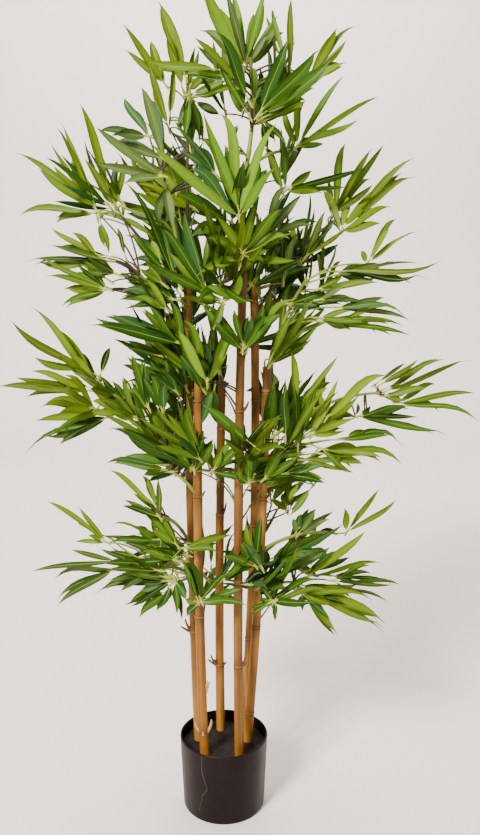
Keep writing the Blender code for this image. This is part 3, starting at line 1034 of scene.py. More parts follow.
CANES: tuple[Cane, ...] = (
    Cane("cane_front_left", (-0.029, -0.036), (-0.033, -0.046, 0.728), (-0.005, 0.0),
         (0.142, 0.330, 0.518, 0.660),
         (Stub(0.140, 186, 0.016, 0.006), Stub(0.139, 345, 0.023, 0.005),
          Stub(0.136, 262, 0.008, 0.000), Stub(0.205, 350, 0.022, 0.001),
          Stub(0.217, 342, 0.008, 0.006), Stub(0.518, 340, 0.010, 0.004, True)), 0.12),
    Cane("cane_left", (-0.041, 0.010), (-0.051, 0.004, 0.823), (-0.004, 0.0), (0.285, 0.410, 0.640, 0.760),
         (Stub(0.284, 185, 0.010, 0.014, True), Stub(0.286, 200, 0.022, 0.007, True),
          Stub(0.640, 190, 0.012, 0.006, True)), 0.22),
    Cane("cane_back_left", (-0.006, 0.039), (-0.002, 0.048, 0.681), (-0.003, 0.0), (0.213, 0.465, 0.604),
         (Stub(0.211, 187, 0.012, 0.012, True), Stub(0.212, 200, 0.021, 0.008, True),
          Stub(0.213, 225, 0.013, 0.004, True), Stub(0.212, 350, 0.006, 0.003, True),
          Stub(0.465, 320, 0.024, 0.006, True)), 0.24),
    Cane("cane_front_right", (0.025, -0.038), (0.030, -0.030, 0.845), (-0.004, 0.0),
         (0.249, 0.374, 0.643, 0.740),
         (Stub(0.248, 345, 0.012, 0.010, True), Stub(0.249, 330, 0.017, 0.004, True),
          Stub(0.252, 300, 0.022, 0.000, True), Stub(0.643, 350, 0.016, 0.006, True)), 0.46),
    Cane("cane_right", (0.038, 0.006), (0.066, -0.004, 0.707), (0.005, 0.0), (0.148, 0.295, 0.504, 0.670),
         (Stub(0.504, 350, 0.016, 0.006, True),), 0.10),
    Cane("cane_back_right", (0.032, 0.036), (0.047, 0.040, 0.827), (0.009, 0.0), (0.260, 0.450, 0.650),
         (Stub(0.450, 60, 0.012, 0.005, True),), 0.06),
)


# ---------------------------------------------------------------- stems

CANE_BY_NAME: dict[str, Cane] = {cane.name: cane for cane in CANES}
BOUGH_ARCH = 0.10
BOUGH_RADII: Span = (0.0030, 0.0020)
BOUGH_SIDES = 10
KNUCKLE_SPACING = 0.045
LEADER_SIDES = 12
# How many points stand along a stem where a place on it is sought.
LEADER_FINE, LEADER_MIDDLING, CANE_FINE, BOUGH_FINE = 200, 160, 200, 60
LOWEST_TWIG = 0.30


def knuckled(radii: Span, points: int, count: int, rise: float, power: int) -> Array:
    """Radii along a stem that tapers evenly and swells a little at its knuckles.

    At share s the swelling is rise times the positive part of cos(2 pi s count), to a power.

    Args:
        radii: Radius at the foot and at the end.
        points: How many radii.
        count: How many knuckles.
        rise: How far a knuckle swells.
        power: How short a knuckle is, more being shorter.

    Returns:
        The radii.
    """
    share = np.linspace(0.0, 1.0, points)
    swell = rise * np.maximum(np.cos(2.0 * math.pi * share * count), 0.0) ** power
    return radii[0] + (radii[1] - radii[0]) * share + swell


@dataclass(frozen=True)
class Leader:
    """The thin stem that goes on up from one cane's cut top to the crown.

    Its foot is sunk in the cane. Sway is X by which it swings left low down and right higher up, and each
    of its knuckles swells by knuckle.
    """

    cane: str = "cane_front_right"
    sunk: float = 0.004
    sway: float = 0.006
    top: Place = (0.040, -0.025, 1.135)
    radii: Span = (0.0042, 0.0024)
    knuckles: int = 7
    knuckle: float = 0.0007

    def line(self, count: int = 60) -> Array:
        """The leader's axis: the chord plus a slow S, sway * -sin(2 pi s) across.

        Args:
            count: Points along it.

        Returns:
            The axis, from the cane's top to the crown.
        """
        start = np.array(CANE_BY_NAME[self.cane].top) - UP * self.sunk
        share = np.linspace(0.0, 1.0, count)[:, None]
        chord = start + (np.array(self.top) - start) * share
        return chord + np.array([-self.sway, 0.0, 0.0]) * np.sin(2.0 * math.pi * share)

    def build(self, materials: Sequence[Material]) -> None:
        """Makes the leader with low knuckles along it.

        Args:
            materials: Its finishes.
        """
        line = self.line()
        radii = knuckled(self.radii, len(line), self.knuckles, self.knuckle, power=10)
        make_piece("leader_stem", tubes(line[None], radii[None], LEADER_SIDES), materials, ["leader"])


@dataclass(frozen=True)
class Bough:
    """One tapering plastic stem that leaves a cane or the leader for a mass of foliage.

    Height is where it leaves its carrier, and tip is where it ends in the leaves. It is brown or green,
    and each of its knuckles swells by knuckle.
    """

    name: str
    carrier: str
    height: float
    tip: Place
    brown: bool = False
    knuckle: float = 0.0006

    def line(self, count: int = 26) -> Array:
        """The bough's axis, arching up off its chord by a tenth of the chord.

        Args:
            count: Points along it.

        Returns:
            The axis, from the middle of its carrier to its tip.
        """
        start = carrier_point(self.carrier, self.height)
        end = np.array(self.tip)
        rise = UP * (BOUGH_ARCH * float(np.linalg.norm(end - start)))
        return arc_paths(start[None], end[None], rise[None], count)[0]

    def build(self, green: Sequence[Material], brown: Sequence[Material]) -> None:
        """Makes the bough, with knuckles where its moulded sections meet.

        Args:
            green: Finishes of a green bough.
            brown: Finishes of a brown one.
        """
        line = self.line()
        length = float(np.linalg.norm(np.diff(line, axis=0), axis=1).sum())
        count = max(2, round(length / KNUCKLE_SPACING))
        radii = knuckled(BOUGH_RADII, len(line), count, self.knuckle, power=6)
        stem = tubes(line[None], radii[None], BOUGH_SIDES)
        make_piece(self.name + "_stem", stem, brown if self.brown else green, [self.name])


LEADER = Leader()

BOUGHS: tuple[Bough, ...] = (
    Bough("bough_top_right", "leader", 0.985, (0.098, 0.008, 1.018)),
    Bough("bough_top_left", "cane_left", 0.815, (-0.050, 0.018, 1.085), True),
    Bough("bough_upper_left_inner", "cane_left", 0.790, (-0.085, -0.026, 0.985)),
    Bough("bough_upper_left_outer", "cane_left", 0.755, (-0.148, 0.020, 0.925), True),
    Bough("bough_left_shoulder", "cane_left", 0.735, (-0.116, -0.036, 0.840)),
    Bough("bough_right_inner_upper", "cane_back_right", 0.820, (0.084, 0.036, 0.950)),
    Bough("bough_upper_right", "cane_back_right", 0.780, (0.158, 0.022, 0.915), True),
    Bough("bough_right_shoulder", "cane_right", 0.700, (0.122, -0.030, 0.835)),
    Bough("bough_outer_left", "cane_left", 0.585, (-0.158, 0.000, 0.662)),
    Bough("bough_inner_left", "cane_front_left", 0.518, (-0.075, -0.060, 0.560)),
    Bough("bough_outer_right", "cane_right", 0.590, (0.238, 0.018, 0.665)),
    Bough("bough_inner_right", "cane_right", 0.520, (0.098, -0.040, 0.590), True),
    Bough("bough_low_left_upper", "cane_left", 0.425, (-0.086, -0.072, 0.495)),
    Bough("bough_low_left", "cane_left", 0.375, (-0.092, -0.044, 0.408)),
    Bough("bough_low_right", "cane_right", 0.350, (0.110, 0.000, 0.370)),
    Bough("bough_low_right_upper", "cane_right", 0.420, (0.180, 0.032, 0.438)),
    Bough("bough_back_upper_left", "cane_back_left", 0.674, (-0.050, 0.078, 0.880)),
    Bough("bough_back_upper_right", "cane_back_right", 0.730, (0.085, 0.090, 0.845)),
)


def carrier_point(name: str, height: float) -> Array:
    """The point at this height on the axis of a cane or of the leader.

    Args:
        name: A cane's name, or leader.
        height: The height.

    Returns:
        The place.
    """
    if name != "leader":
        return CANE_BY_NAME[name].axis(np.array(height))[0]
    line = LEADER.line(LEADER_FINE)
    return line[np.argmin(np.abs(line[:, 2] - height))]


# ---------------------------------------------------------------- foliage

MM = 0.001
FRONT = 270.0
BACK = 90.0
PLANT_MIDDLE = (0.005, 0.005)
# Where a viewer's eye stands before the plant.
EYE: Place = (0.026, -1.135, 0.802)

NEAR_TINTS: dict[Tint, tuple[Tint, ...]] = {
    DEEP: (MIDDLE, BLUE), MIDDLE: (DEEP, FRESH, OLIVE), FRESH: (MIDDLE, OLIVE), GREY: (BLUE, MIDDLE),
    BLUE: (GREY, DEEP), OLIVE: (MIDDLE, FRESH), VIVID: (FRESH, MIDDLE), DUSK: (DEEP, OLIVE),
}


def near_tint(tint: Tint, random: np.random.Generator) -> Tint:
    """Picks one of the tints that are often mixed with this one in a spray."""
    options = NEAR_TINTS[tint]
    return options[int(random.integers(len(options)))]


@dataclass(frozen=True)
class Spray:
    """A fan of leaves round the end of a twig, in an upright plane that faces a bearing.

    The leaves part at the hub and lean out of the plane by toward, in degrees. Each has an angle in
    degrees and a length in millimetres, and width is their full width in millimetres. Angles run from
    the fan's right-hand side, as seen by who it faces, up through 90 at the top.
    """

    hub: Place
    toward: float
    width: float
    tint: Tint
    leaves: tuple[Span, ...]
    face: float = FRONT


def place_of(point: Array) -> Place:
    """A point as a place."""
    return float(point[0]), float(point[1]), float(point[2])


def whorl(
    hub: Place, face: float, toward: float, width: float, tint: Tint, arc: Span, count: int, length: float,
) -> Spray:
    """A spray whose leaves are spaced over an arc, the outer ones a fifth shorter.

    Slow waves, set off by the hub's place, shift each angle by up to 7 degrees and each length by up
    to 15 percent.

    Args:
        hub: Where the leaves part.
        face: Bearing that the fan faces.
        toward: Lean out of the fan's plane, in degrees.
        width: Full width of a leaf in millimetres.
        tint: The leaves' tint.
        arc: Angles of the first and the last leaf.
        count: How many leaves.
        length: Length of the middle leaf in millimetres.

    Returns:
        The spray.
    """
    middle, half = 0.5 * (arc[0] + arc[1]), 0.5 * (arc[1] - arc[0])
    leaves = []
    for place in np.linspace(-1.0, 1.0, count).tolist():
        angle = middle + half * place + 7.0 * math.sin(9.0 * place + 80.0 * hub[2])
        wave = 1.0 + 0.15 * math.sin(7.0 * place + 90.0 * hub[0])
        leaves.append((angle, length * (1.0 - 0.2 * abs(place)) * wave))
    return Spray(hub, toward, width, tint, tuple(leaves), face)


def fan(x: float, y: float, z: float, toward: float, width: float, tint: Tint, *leaves: Span) -> Spray:
    """A named spray that faces the front, with its hub in millimetres and its leaves one by one."""
    return Spray((x / 1000.0, y / 1000.0, z / 1000.0), toward, width, tint, leaves)


def ring(
    x: float, y: float, z: float, face: float, toward: float, width: float, tint: Tint, arc: Span,
    count: int, length: float,
) -> Spray:
    """A named spray of evenly spaced leaves, with its hub in millimetres."""
    return whorl((x / 1000.0, y / 1000.0, z / 1000.0), face, toward, width, tint, arc, count, length)


def stem_line(name: str) -> Array:
    """Points along a bough, the leader or a cane.

    Args:
        name: Its name.

    Returns:
        The points, from its foot to its end.
    """
    if name == "leader":
        return LEADER.line(LEADER_MIDDLING)
    if name in CANE_BY_NAME:
        cane = CANE_BY_NAME[name]
        return cane.axis(np.linspace(LOWEST_TWIG, cane.top[2], CANE_FINE))
    return next(bough for bough in BOUGHS if bough.name == name).line(BOUGH_FINE)


def branch_point(stem: Array, hub: Array) -> Array:
    """Where a twig to this hub leaves a stem: near it, and low enough for the twig to rise.

    The chosen point has the least distance to the hub plus twice its height over the line that falls
    from the hub by three tenths of the level distance.

    Args:
        stem: Points along the stem.
        hub: The twig's end.

    Returns:
        The point on the stem.
    """
    level = np.linalg.norm(stem[:, :2] - hub[:2], axis=1)
    over = np.maximum(stem[:, 2] - hub[2] + 0.3 * level, 0.0)
    return stem[np.argmin(np.linalg.norm(stem - hub, axis=1) + 2.0 * over)]


@dataclass(frozen=True)
class Branching:
    """The numbers of the branching rule. Angles are in degrees, and a pair is a range.

    A grown spray leaves a named one's twig at along, a share of it, and its hub stands rise over that
    point, by scatter. One that points outward has the side numbers, and one that faces outward the open
    ones: the spreads of its facing and its lean, and its middle leaf's angle. Half is half its arc, and
    kept_tint is the chance of the named spray's tint. Width and length are in millimetres, and it has
    fewer leaves than the second number of count.

    A gap of widest_gap or more gets no backing leaf, and one over double_gap gets two. They lie at
    gap_place, a share of the gap, with gap_length of their neighbours' mean length. Their hub lies behind
    the spray's, their lean and width are shares of its own, and backing_near is the chance of a near
    tint, not the deep one.

    A spray within echo_reach of the middle in X has an echo, by the chance echo_share. The echo's hub
    stands at the Y of echo_depth, and its leaves grow by echo_growth at most.
    """

    along: Span = (0.20, 0.75)
    scatter: float = 0.016
    rise: float = 0.014
    side_turn: float = 30.0
    side_lean: float = 14.0
    side_middle: Span = (5.0, 65.0)
    open_turn: float = 40.0
    open_lean: Span = (15.0, 50.0)
    open_middle: Span = (60.0, 120.0)
    half: Span = (28.0, 55.0)
    kept_tint: float = 0.55
    width: Span = (10.0, 14.5)
    count: tuple[int, int] = (5, 8)
    length: Span = (80.0, 120.0)
    widest_gap: float = 75.0
    double_gap: float = 22.0
    gap_place: Span = (0.15, 0.85)
    gap_length: Span = (0.6, 0.95)
    behind: float = 0.022
    backing_lean: float = 0.3
    backing_width: float = 0.9
    backing_near: float = 0.5
    echo_reach: float = 0.135
    echo_share: float = 0.85
    echo_depth: Span = (0.055, 0.135)
    echo_lean: Span = (5.0, 25.0)
    echo_growth: float = 1.1

    def backed(self, spray: Spray, share: float, random: np.random.Generator) -> list[Spray]:
        """A spray and the shorter leaves that lie behind it, in the gaps between its own.

        Args:
            spray: The spray.
            share: Chance that a gap between two neighbours gets a backing leaf.
            random: The seeded generator.

        Returns:
            The spray, then its backing spray where it has one.
        """
        named = sorted(spray.leaves)
        found = []
        for (low, short), (high, tall) in zip(named, named[1:]):
            gap = high - low
            for _ in range(1 + int(gap > self.double_gap)):
                if gap < self.widest_gap and random.random() < share:
                    at = random.uniform(*self.gap_place)
                    found.append((low + gap * at, 0.5 * (short + tall) * random.uniform(*self.gap_length)))
        if not found:
            return [spray]
        turn = math.radians(spray.face)
        x, y, z = spray.hub
        hub = (x - self.behind * math.cos(turn), y - self.behind * math.sin(turn), z)
        tint = near_tint(spray.tint, random) if random.random() < self.backing_near else DEEP
        lean, width = spray.toward * self.backing_lean, spray.width * self.backing_width
        return [spray, Spray(hub, lean, width, tint, tuple(found), spray.face)]

    def echoed(self, spray: Spray, random: np.random.Generator) -> list[Spray]:
        """The spray that answers a central one on the plant's far side and faces back.

        It lies on the line from the eye through the first spray's hub, and is larger by the ratio of
        their distances, so that the front's gaps stay open. Its angles are mirrored because it faces
        the other way.

        Args:
            spray: The spray in front.
            random: The seeded generator.

        Returns:
            The echo, or nothing for a spray that is not central or does not face the front.
        """
        hub, eye = np.array(spray.hub), np.array(EYE)
        central = spray.face == FRONT and abs(hub[0] - PLANT_MIDDLE[0]) <= self.echo_reach
        if not central or random.random() > self.echo_share:
            return []
        larger = (random.uniform(*self.echo_depth) - EYE[1]) / (hub[1] - EYE[1])
        grown = min(larger, self.echo_growth)
        leaves = tuple((180.0 - angle, length * grown) for angle, length in spray.leaves)
        lean = random.uniform(*self.echo_lean)
        far = place_of(eye + (hub - eye) * larger)
        return [Spray(far, lean, spray.width, near_tint(spray.tint, random), leaves, BACK)]

    def grown(
        self, parent: Spray, foot: Array, outward: bool, random: np.random.Generator,
    ) -> tuple[Spray, Array]:
        """A spray on a side twig of a named spray's twig.

        Args:
            parent: The named spray.
            foot: Where its twig starts.
            outward: Whether the new spray lies in the upright plane that holds the way out from the
                plant's middle, and points out and up. If not, it faces outward and opens upward.
            random: The seeded generator.

        Returns:
            The spray, and where its twig starts.
        """
        start = foot + (np.array(parent.hub) - foot) * random.uniform(*self.along)
        hub = start + random.normal(0.0, self.scatter, 3) + UP * self.rise
        out = math.degrees(math.atan2(hub[1] - PLANT_MIDDLE[1], hub[0] - PLANT_MIDDLE[0]))
        if outward:
            face = out - 90.0 + random.normal(0.0, self.side_turn)
            toward = random.normal(0.0, self.side_lean)
            middle = random.uniform(*self.side_middle)
        else:
            face = out + random.normal(0.0, self.open_turn)
            toward = random.uniform(*self.open_lean)
            middle = random.uniform(*self.open_middle)
        half = random.uniform(*self.half)
        fallback = DEEP if outward else MIDDLE
        tint = parent.tint if random.random() < self.kept_tint else fallback
        spray = whorl(
            place_of(hub), face, toward, random.uniform(*self.width), tint, (middle - half, middle + half),
            int(random.integers(*self.count)), random.uniform(*self.length),
        )
        return spray, start


RULE = Branching()


@dataclass(frozen=True)
class Foliage:
    """One mass of foliage, named as its CAD node: its sprays, and what the rule adds to them.

    Its twigs leave stem, a bough, the leader or a cane. The rule grows as many sprays on them as grown
    says, and backing is the chance that a gap between two named leaves gets a backing leaf.
    """

    name: str
    stem: str
    sprays: tuple[Spray, ...]
    seed: int
    grown: int
    backing: float

    def all_sprays(self, random: np.random.Generator) -> tuple[list[Spray], Array]:
        """The named sprays, their echoes and the grown ones, with the start of each one's twig.

        Args:
            random: The seeded generator.

        Returns:
            The sprays, and the start of each one's twig.
        """
        stem = stem_line(self.stem)
        found = [made for spray in self.sprays for made in RULE.backed(spray, self.backing, random)]
        found += [made for spray in self.sprays for made in RULE.echoed(spray, random)]
        named = len(found)
        starts = [branch_point(stem, np.array(spray.hub)) for spray in found]
        for number in range(self.grown):
            pick = int(random.integers(named))
            spray, start = RULE.grown(found[pick], starts[pick], number % 2 == 0, random)
            found.append(spray)
            starts.append(start)
        return found, np.array(starts)


@dataclass
class LeafSet:
    """Leaves in arrays, one entry each.

    A blade runs from base to tip, and facing is its upper side's direction, square to that chord. Width
    is its greatest half width. Arch and sway are how far its middle stands over the chord and aside, wave
    is how far it goes in and out, and tail is how far a dry thread goes on past the tip, all as shares of
    its length. It turns by twist radians from base to tip, and its margins stand over the rib by fold
    times the half width. Tint is its finish number.
    """

    base: Array
    tip: Array
    facing: Array
    width: Array
    arch: Array
    sway: Array
    wave: Array
    twist: Array
    fold: Array
    tail: Array
    tint: Faces


LEAF_STATIONS = np.array([0.02, 0.10, 0.24, 0.40, 0.56, 0.72, 0.85, 0.95])
LEAF_RISE = 0.50
LEAF_TAPER = 3.2
LEAF_POINT = 0.20
LEAF_FULLEST = 0.550
# Brings the highest value of t^2 (1 - t) to one.
BEND_SCALE = 6.75
TWIST_MIDDLE = 0.3
TAIL_HANG = 0.5
RIB_HALF_WIDTH = 0.00055
RIB_THINNING = 0.6
RIB_MOST = 0.35
LEAF_HALF_THICKNESS = 0.00020
KEEL_DEPTH = 1.6
RIB_SIDE = 1
RIB = len(Tint)
# Places across the pattern of a margin, the rib's two edges, the other margin and the keel.
ACROSS_PATTERN = (0.1, 0.48, 0.52, 0.9, RIB_PATTERN)


def leaf_surface(leaves: LeafSet) -> Surface:
    """Every leaf as a thin closed blade with its rib.

    The half width at share t is width * t^0.5 (1 - t^3.2) (1 - t)^0.2 / 0.55: a strap that is widest
    about the middle and draws out to a long point. The rib's line is base + t chord + length times
    (6.75 t^2 (1 - t) (arch up + sway side) + wave sin(2 pi t) facing), so it bends most near the tip.
    Across it the margins stand over the rib by fold times the half width, the rib is a narrow strip on
    top, a keel lies beneath, and the whole turns by twist (t - 0.3).

    Args:
        leaves: The leaves.

    Returns:
        The blades as one surface. The rib strip has its own finish number.
    """
    count = len(leaves.width)
    chord = leaves.tip - leaves.base
    length = np.linalg.norm(chord, axis=1)[:, None, None]
    side = np.cross(unit(chord), leaves.facing)

    def line(at: Array) -> Array:
        """The rib's line at some shares of its length."""
        bow = leaves.arch[:, None, None] * UP + leaves.sway[:, None, None] * side[:, None, :]
        ripple = leaves.wave[:, None, None] * np.sin(2.0 * math.pi * at) * leaves.facing[:, None, :]
        bent = BEND_SCALE * at ** 2 * (1.0 - at) * bow
        return leaves.base[:, None, :] + chord[:, None, :] * at + length * (bent + ripple)

    at = LEAF_STATIONS
    outline = at ** LEAF_RISE * (1.0 - at ** LEAF_TAPER) * (1.0 - at) ** LEAF_POINT / LEAF_FULLEST
    half = leaves.width[:, None] * outline
    narrow = np.minimum(RIB_HALF_WIDTH * (1.0 - RIB_THINNING * at), RIB_MOST * half)
    thick = np.full_like(half, LEAF_HALF_THICKNESS)
    lift = leaves.fold[:, None] * half
    across = np.stack([-half, -narrow, narrow, half, np.zeros_like(half)], axis=-1)[..., None]
    over = np.stack([lift, thick, thick, lift, -KEEL_DEPTH * thick], axis=-1)[..., None]
    turn = leaves.twist[:, None] * (at - TWIST_MIDDLE)
    cos, sin = np.cos(turn)[..., None], np.sin(turn)[..., None]
    side_at = side[:, None, :] * cos + leaves.facing[:, None, :] * sin
    face_at = leaves.facing[:, None, :] * cos - side[:, None, :] * sin
    middle = line(at[None, :, None])[:, :, None, :]
    points = middle + across * side_at[:, :, None, :] + over * face_at[:, :, None, :]
    first = line(np.zeros((1, 1, 1)))
    hang = (chord - TAIL_HANG * np.linalg.norm(chord, axis=1, keepdims=True) * UP) * leaves.tail[:, None]
    last = line(np.ones((1, 1, 1))) + hang[:, None, :]
    packed = np.concatenate([first, points.reshape(count, -1, 3), last], axis=1).reshape(-1, 3)
    quads, tris, quad_side, tri_side = shell_faces(count, len(at), len(ACROSS_PATTERN))
    row = np.stack(np.meshgrid(at, ACROSS_PATTERN, indexing="ij"), -1).reshape(-1, 2)
    one = np.concatenate([[[0.0, RIB_PATTERN]], row, [[1.0, RIB_PATTERN]]])
    pattern = np.tile(one, (count, 1))
    pattern[:, 1] += np.repeat(np.arange(count), len(one))
    finishes = [
        np.where(sides == RIB_SIDE, RIB, np.repeat(leaves.tint, len(faces) // count))
        for sides, faces in ((quad_side, quads), (tri_side, tris))
    ]
    return Surface(packed, quads, tris, *finishes, pattern)


class TwigPart(Enum):
    """The parts of a mass's twigs, numbered in the order of their finishes."""

    GREEN = 0
    BROWN = 1
    COLLAR = 2


@dataclass(frozen=True)
class Stalk:
    """One kind of tapering stalk: radii at its start and end, rings along it, sides round it."""

    radii: Span
    rings: int
    sides: int

    def grow(self, starts: Array, ends: Array, rise: Array, part: TwigPart) -> Surface:
        """Stalks from starts to ends.

        Args:
            starts: First points.
            ends: Last points.
            rise: How far each middle stands off its chord.
            part: Their part, for their finish.

        Returns:
            The stalks.
        """
        paths = arc_paths(starts, ends, rise, self.rings)
        taper = np.broadcast_to(np.linspace(*self.radii, self.rings), paths.shape[:2])
        return tubes(paths, taper, self.sides, part.value)


TWIG = Stalk((0.0016, 0.0011), 9, 6)
FAN_TWIG = Stalk((0.0012, 0.0008), 4, 5)
LEAF_STALK = Stalk((0.0009, 0.0005), 3, 5)
TWIG_ARCH = 0.07
TWIG_SWAY = 0.05
STALK_OVERLAP = 0.003
COLLAR_RADII = np.array([0.0011, 0.0016, 0.0018, 0.0015, 0.0009])
COLLAR_BEFORE = 0.006
COLLAR_AFTER = 0.008
COLLAR_SIDES = 7


@dataclass(frozen=True)
class Grower:
    """The seeded rule that grows one mass's twigs and leaves. Angles are in degrees.

    A fan's own twig is twig_share of its leaves' length. A stalk is petiole long, but at most
    petiole_most of its leaf. A leaf that lies least_arc off the fan's middle, or more in a wider fan,
    parts at the hub. The jitters are spreads of a leaf's angle, its lean and its roll about its rib.
    Length and width are shares of the named ones. Arch is a mean and a spread, and sway, wave and twist
    are spreads. Dry_share is the chance of a dry thread as long as tail, and mixed_share is that of the
    spray's other tint.
    """

    twig_share: float = 0.10
    petiole: float = 0.006
    petiole_most: float = 0.2
    least_arc: float = 25.0
    angle_jitter: float = 2.0
    lean_jitter: float = 9.0
    roll_jitter: float = 21.0
    length: Span = (0.96, 1.04)
    width: Span = (0.82, 1.15)
    arch: Span = (0.040, 0.038)
    sway: float = 0.045
    wave: float = 0.016
    twist: float = 0.6
    fold: Span = (0.22, 0.72)
    dry_share: float = 0.30
    tail: Span = (0.04, 0.14)
    mixed_share: float = 0.15

    def leaves(self, spray: Spray, random: np.random.Generator) -> tuple[LeafSet, Array, Array]:
        """Grows the leaves of one spray.

        A leaf's tip stands at the hub plus its length along its direction. Its stalk leaves the fan's
        twig, the sooner the farther its angle is from the fan's middle, so that the middle leaf ends
        the twig.

        Args:
            spray: The spray.
            random: The seeded generator.

        Returns:
            The leaves, the points where their stalks start, and the end of the fan's twig.
        """
        number = len(spray.leaves)
        named = np.array(spray.leaves)
        turn = math.radians(spray.face)
        facing = np.array([math.cos(turn), math.sin(turn), 0.0])
        right = np.cross(UP, facing)
        angle = np.radians(named[:, 0] + random.normal(0.0, self.angle_jitter, number))
        lean = np.radians(spray.toward + random.normal(0.0, self.lean_jitter, number))
        flat = right * np.cos(angle)[:, None] + UP * np.sin(angle)[:, None]
        along = flat * np.cos(lean)[:, None] + facing * np.sin(lean)[:, None]
        square = facing * np.cos(lean)[:, None] - flat * np.sin(lean)[:, None]
        roll = np.radians(random.normal(0.0, self.roll_jitter, number))[:, None]
        blade = square * np.cos(roll) + np.cross(along, square) * np.sin(roll)
        length = MM * named[:, 1] * random.uniform(*self.length, number)
        middle = unit(along.mean(axis=0))
        off = np.degrees(np.arccos(np.clip(along @ middle, -1.0, 1.0)))
        share = 1.0 - np.clip(off / max(float(off.max()), self.least_arc), 0.0, 1.0)
        hub = np.array(spray.hub)
        reach = self.twig_share * float(np.median(length))
        starts = hub + middle * (reach * share)[:, None]
        tip = hub + along * length[:, None]
        heading = unit(tip - starts)
        base = starts + heading * np.minimum(self.petiole, self.petiole_most * length)[:, None]
        blade = unit(blade - heading * np.sum(blade * heading, axis=1, keepdims=True))
        dry = random.random(number) < self.dry_share
        mixed = random.random(number) < self.mixed_share
        other = near_tint(spray.tint, random).value
        found = LeafSet(
            base, tip, blade, 0.5 * MM * spray.width * random.uniform(*self.width, number),
            random.normal(*self.arch, number), random.normal(0.0, self.sway, number),
            random.normal(0.0, self.wave, number), random.normal(0.0, self.twist, number),
            random.uniform(*self.fold, number), np.where(dry, random.uniform(*self.tail, number), 0.0),
            np.where(mixed, other, spray.tint.value),
        )
        return found, starts, hub + middle * reach

    def build(self, foliage: Foliage, finishes: dict[str, Material], brown: bool) -> int:
        """Makes the leaves and the twigs of one mass.

        Args:
            foliage: The mass.
            finishes: Materials by name.
            brown: Whether its twigs are brown, not green.

        Returns:
            How many leaves it has.
        """
        random = np.random.default_rng(foliage.seed)
        sprays, feet = foliage.all_sprays(random)
        grown = [self.leaves(spray, random) for spray in sprays]
        joined = LeafSet(*(
            np.concatenate([getattr(leaves, key) for leaves, _, _ in grown])
            for key in LeafSet.__dataclass_fields__
        ))
        tints = [finishes[LEAF_FINISHES[tint].name] for tint in Tint]
        cloth = [*tints, finishes["rib"]]
        blades = leaf_surface(joined)
        make_piece(foliage.name + "_blades", blades, cloth, [foliage.name], LEAF_SHARP)
        hubs = np.array([spray.hub for spray in sprays])
        ends = np.array([end for _, _, end in grown])
        heading = unit(ends - hubs)
        stalk_from = np.concatenate([starts for _, starts, _ in grown])
        stalk_to = joined.base + unit(joined.tip - joined.base) * STALK_OVERLAP
        reach = np.linalg.norm(hubs - feet, axis=1)[:, None]
        rise = UP * (TWIG_ARCH * reach) + random.normal(0.0, TWIG_SWAY, feet.shape) * reach
        straight = np.zeros_like(hubs)
        collar_from, collar_to = hubs - heading * COLLAR_BEFORE, hubs + heading * COLLAR_AFTER
        collars = arc_paths(collar_from, collar_to, straight, len(COLLAR_RADII))
        collar_radii = np.broadcast_to(COLLAR_RADII, collars.shape[:2])
        twigs = join_surfaces([
            TWIG.grow(feet, hubs, rise, TwigPart.BROWN if brown else TwigPart.GREEN),
            FAN_TWIG.grow(hubs, ends, straight, TwigPart.GREEN),
            LEAF_STALK.grow(stalk_from, stalk_to, np.zeros_like(stalk_to), TwigPart.COLLAR),
            tubes(collars, collar_radii, COLLAR_SIDES, TwigPart.COLLAR.value),
        ])
        stems = [finishes["twig"], finishes["brown twig"], finishes["collar"]]
        make_piece(foliage.name + "_twigs", twigs, stems, [], LEAF_SHARP)
        return len(joined.width)


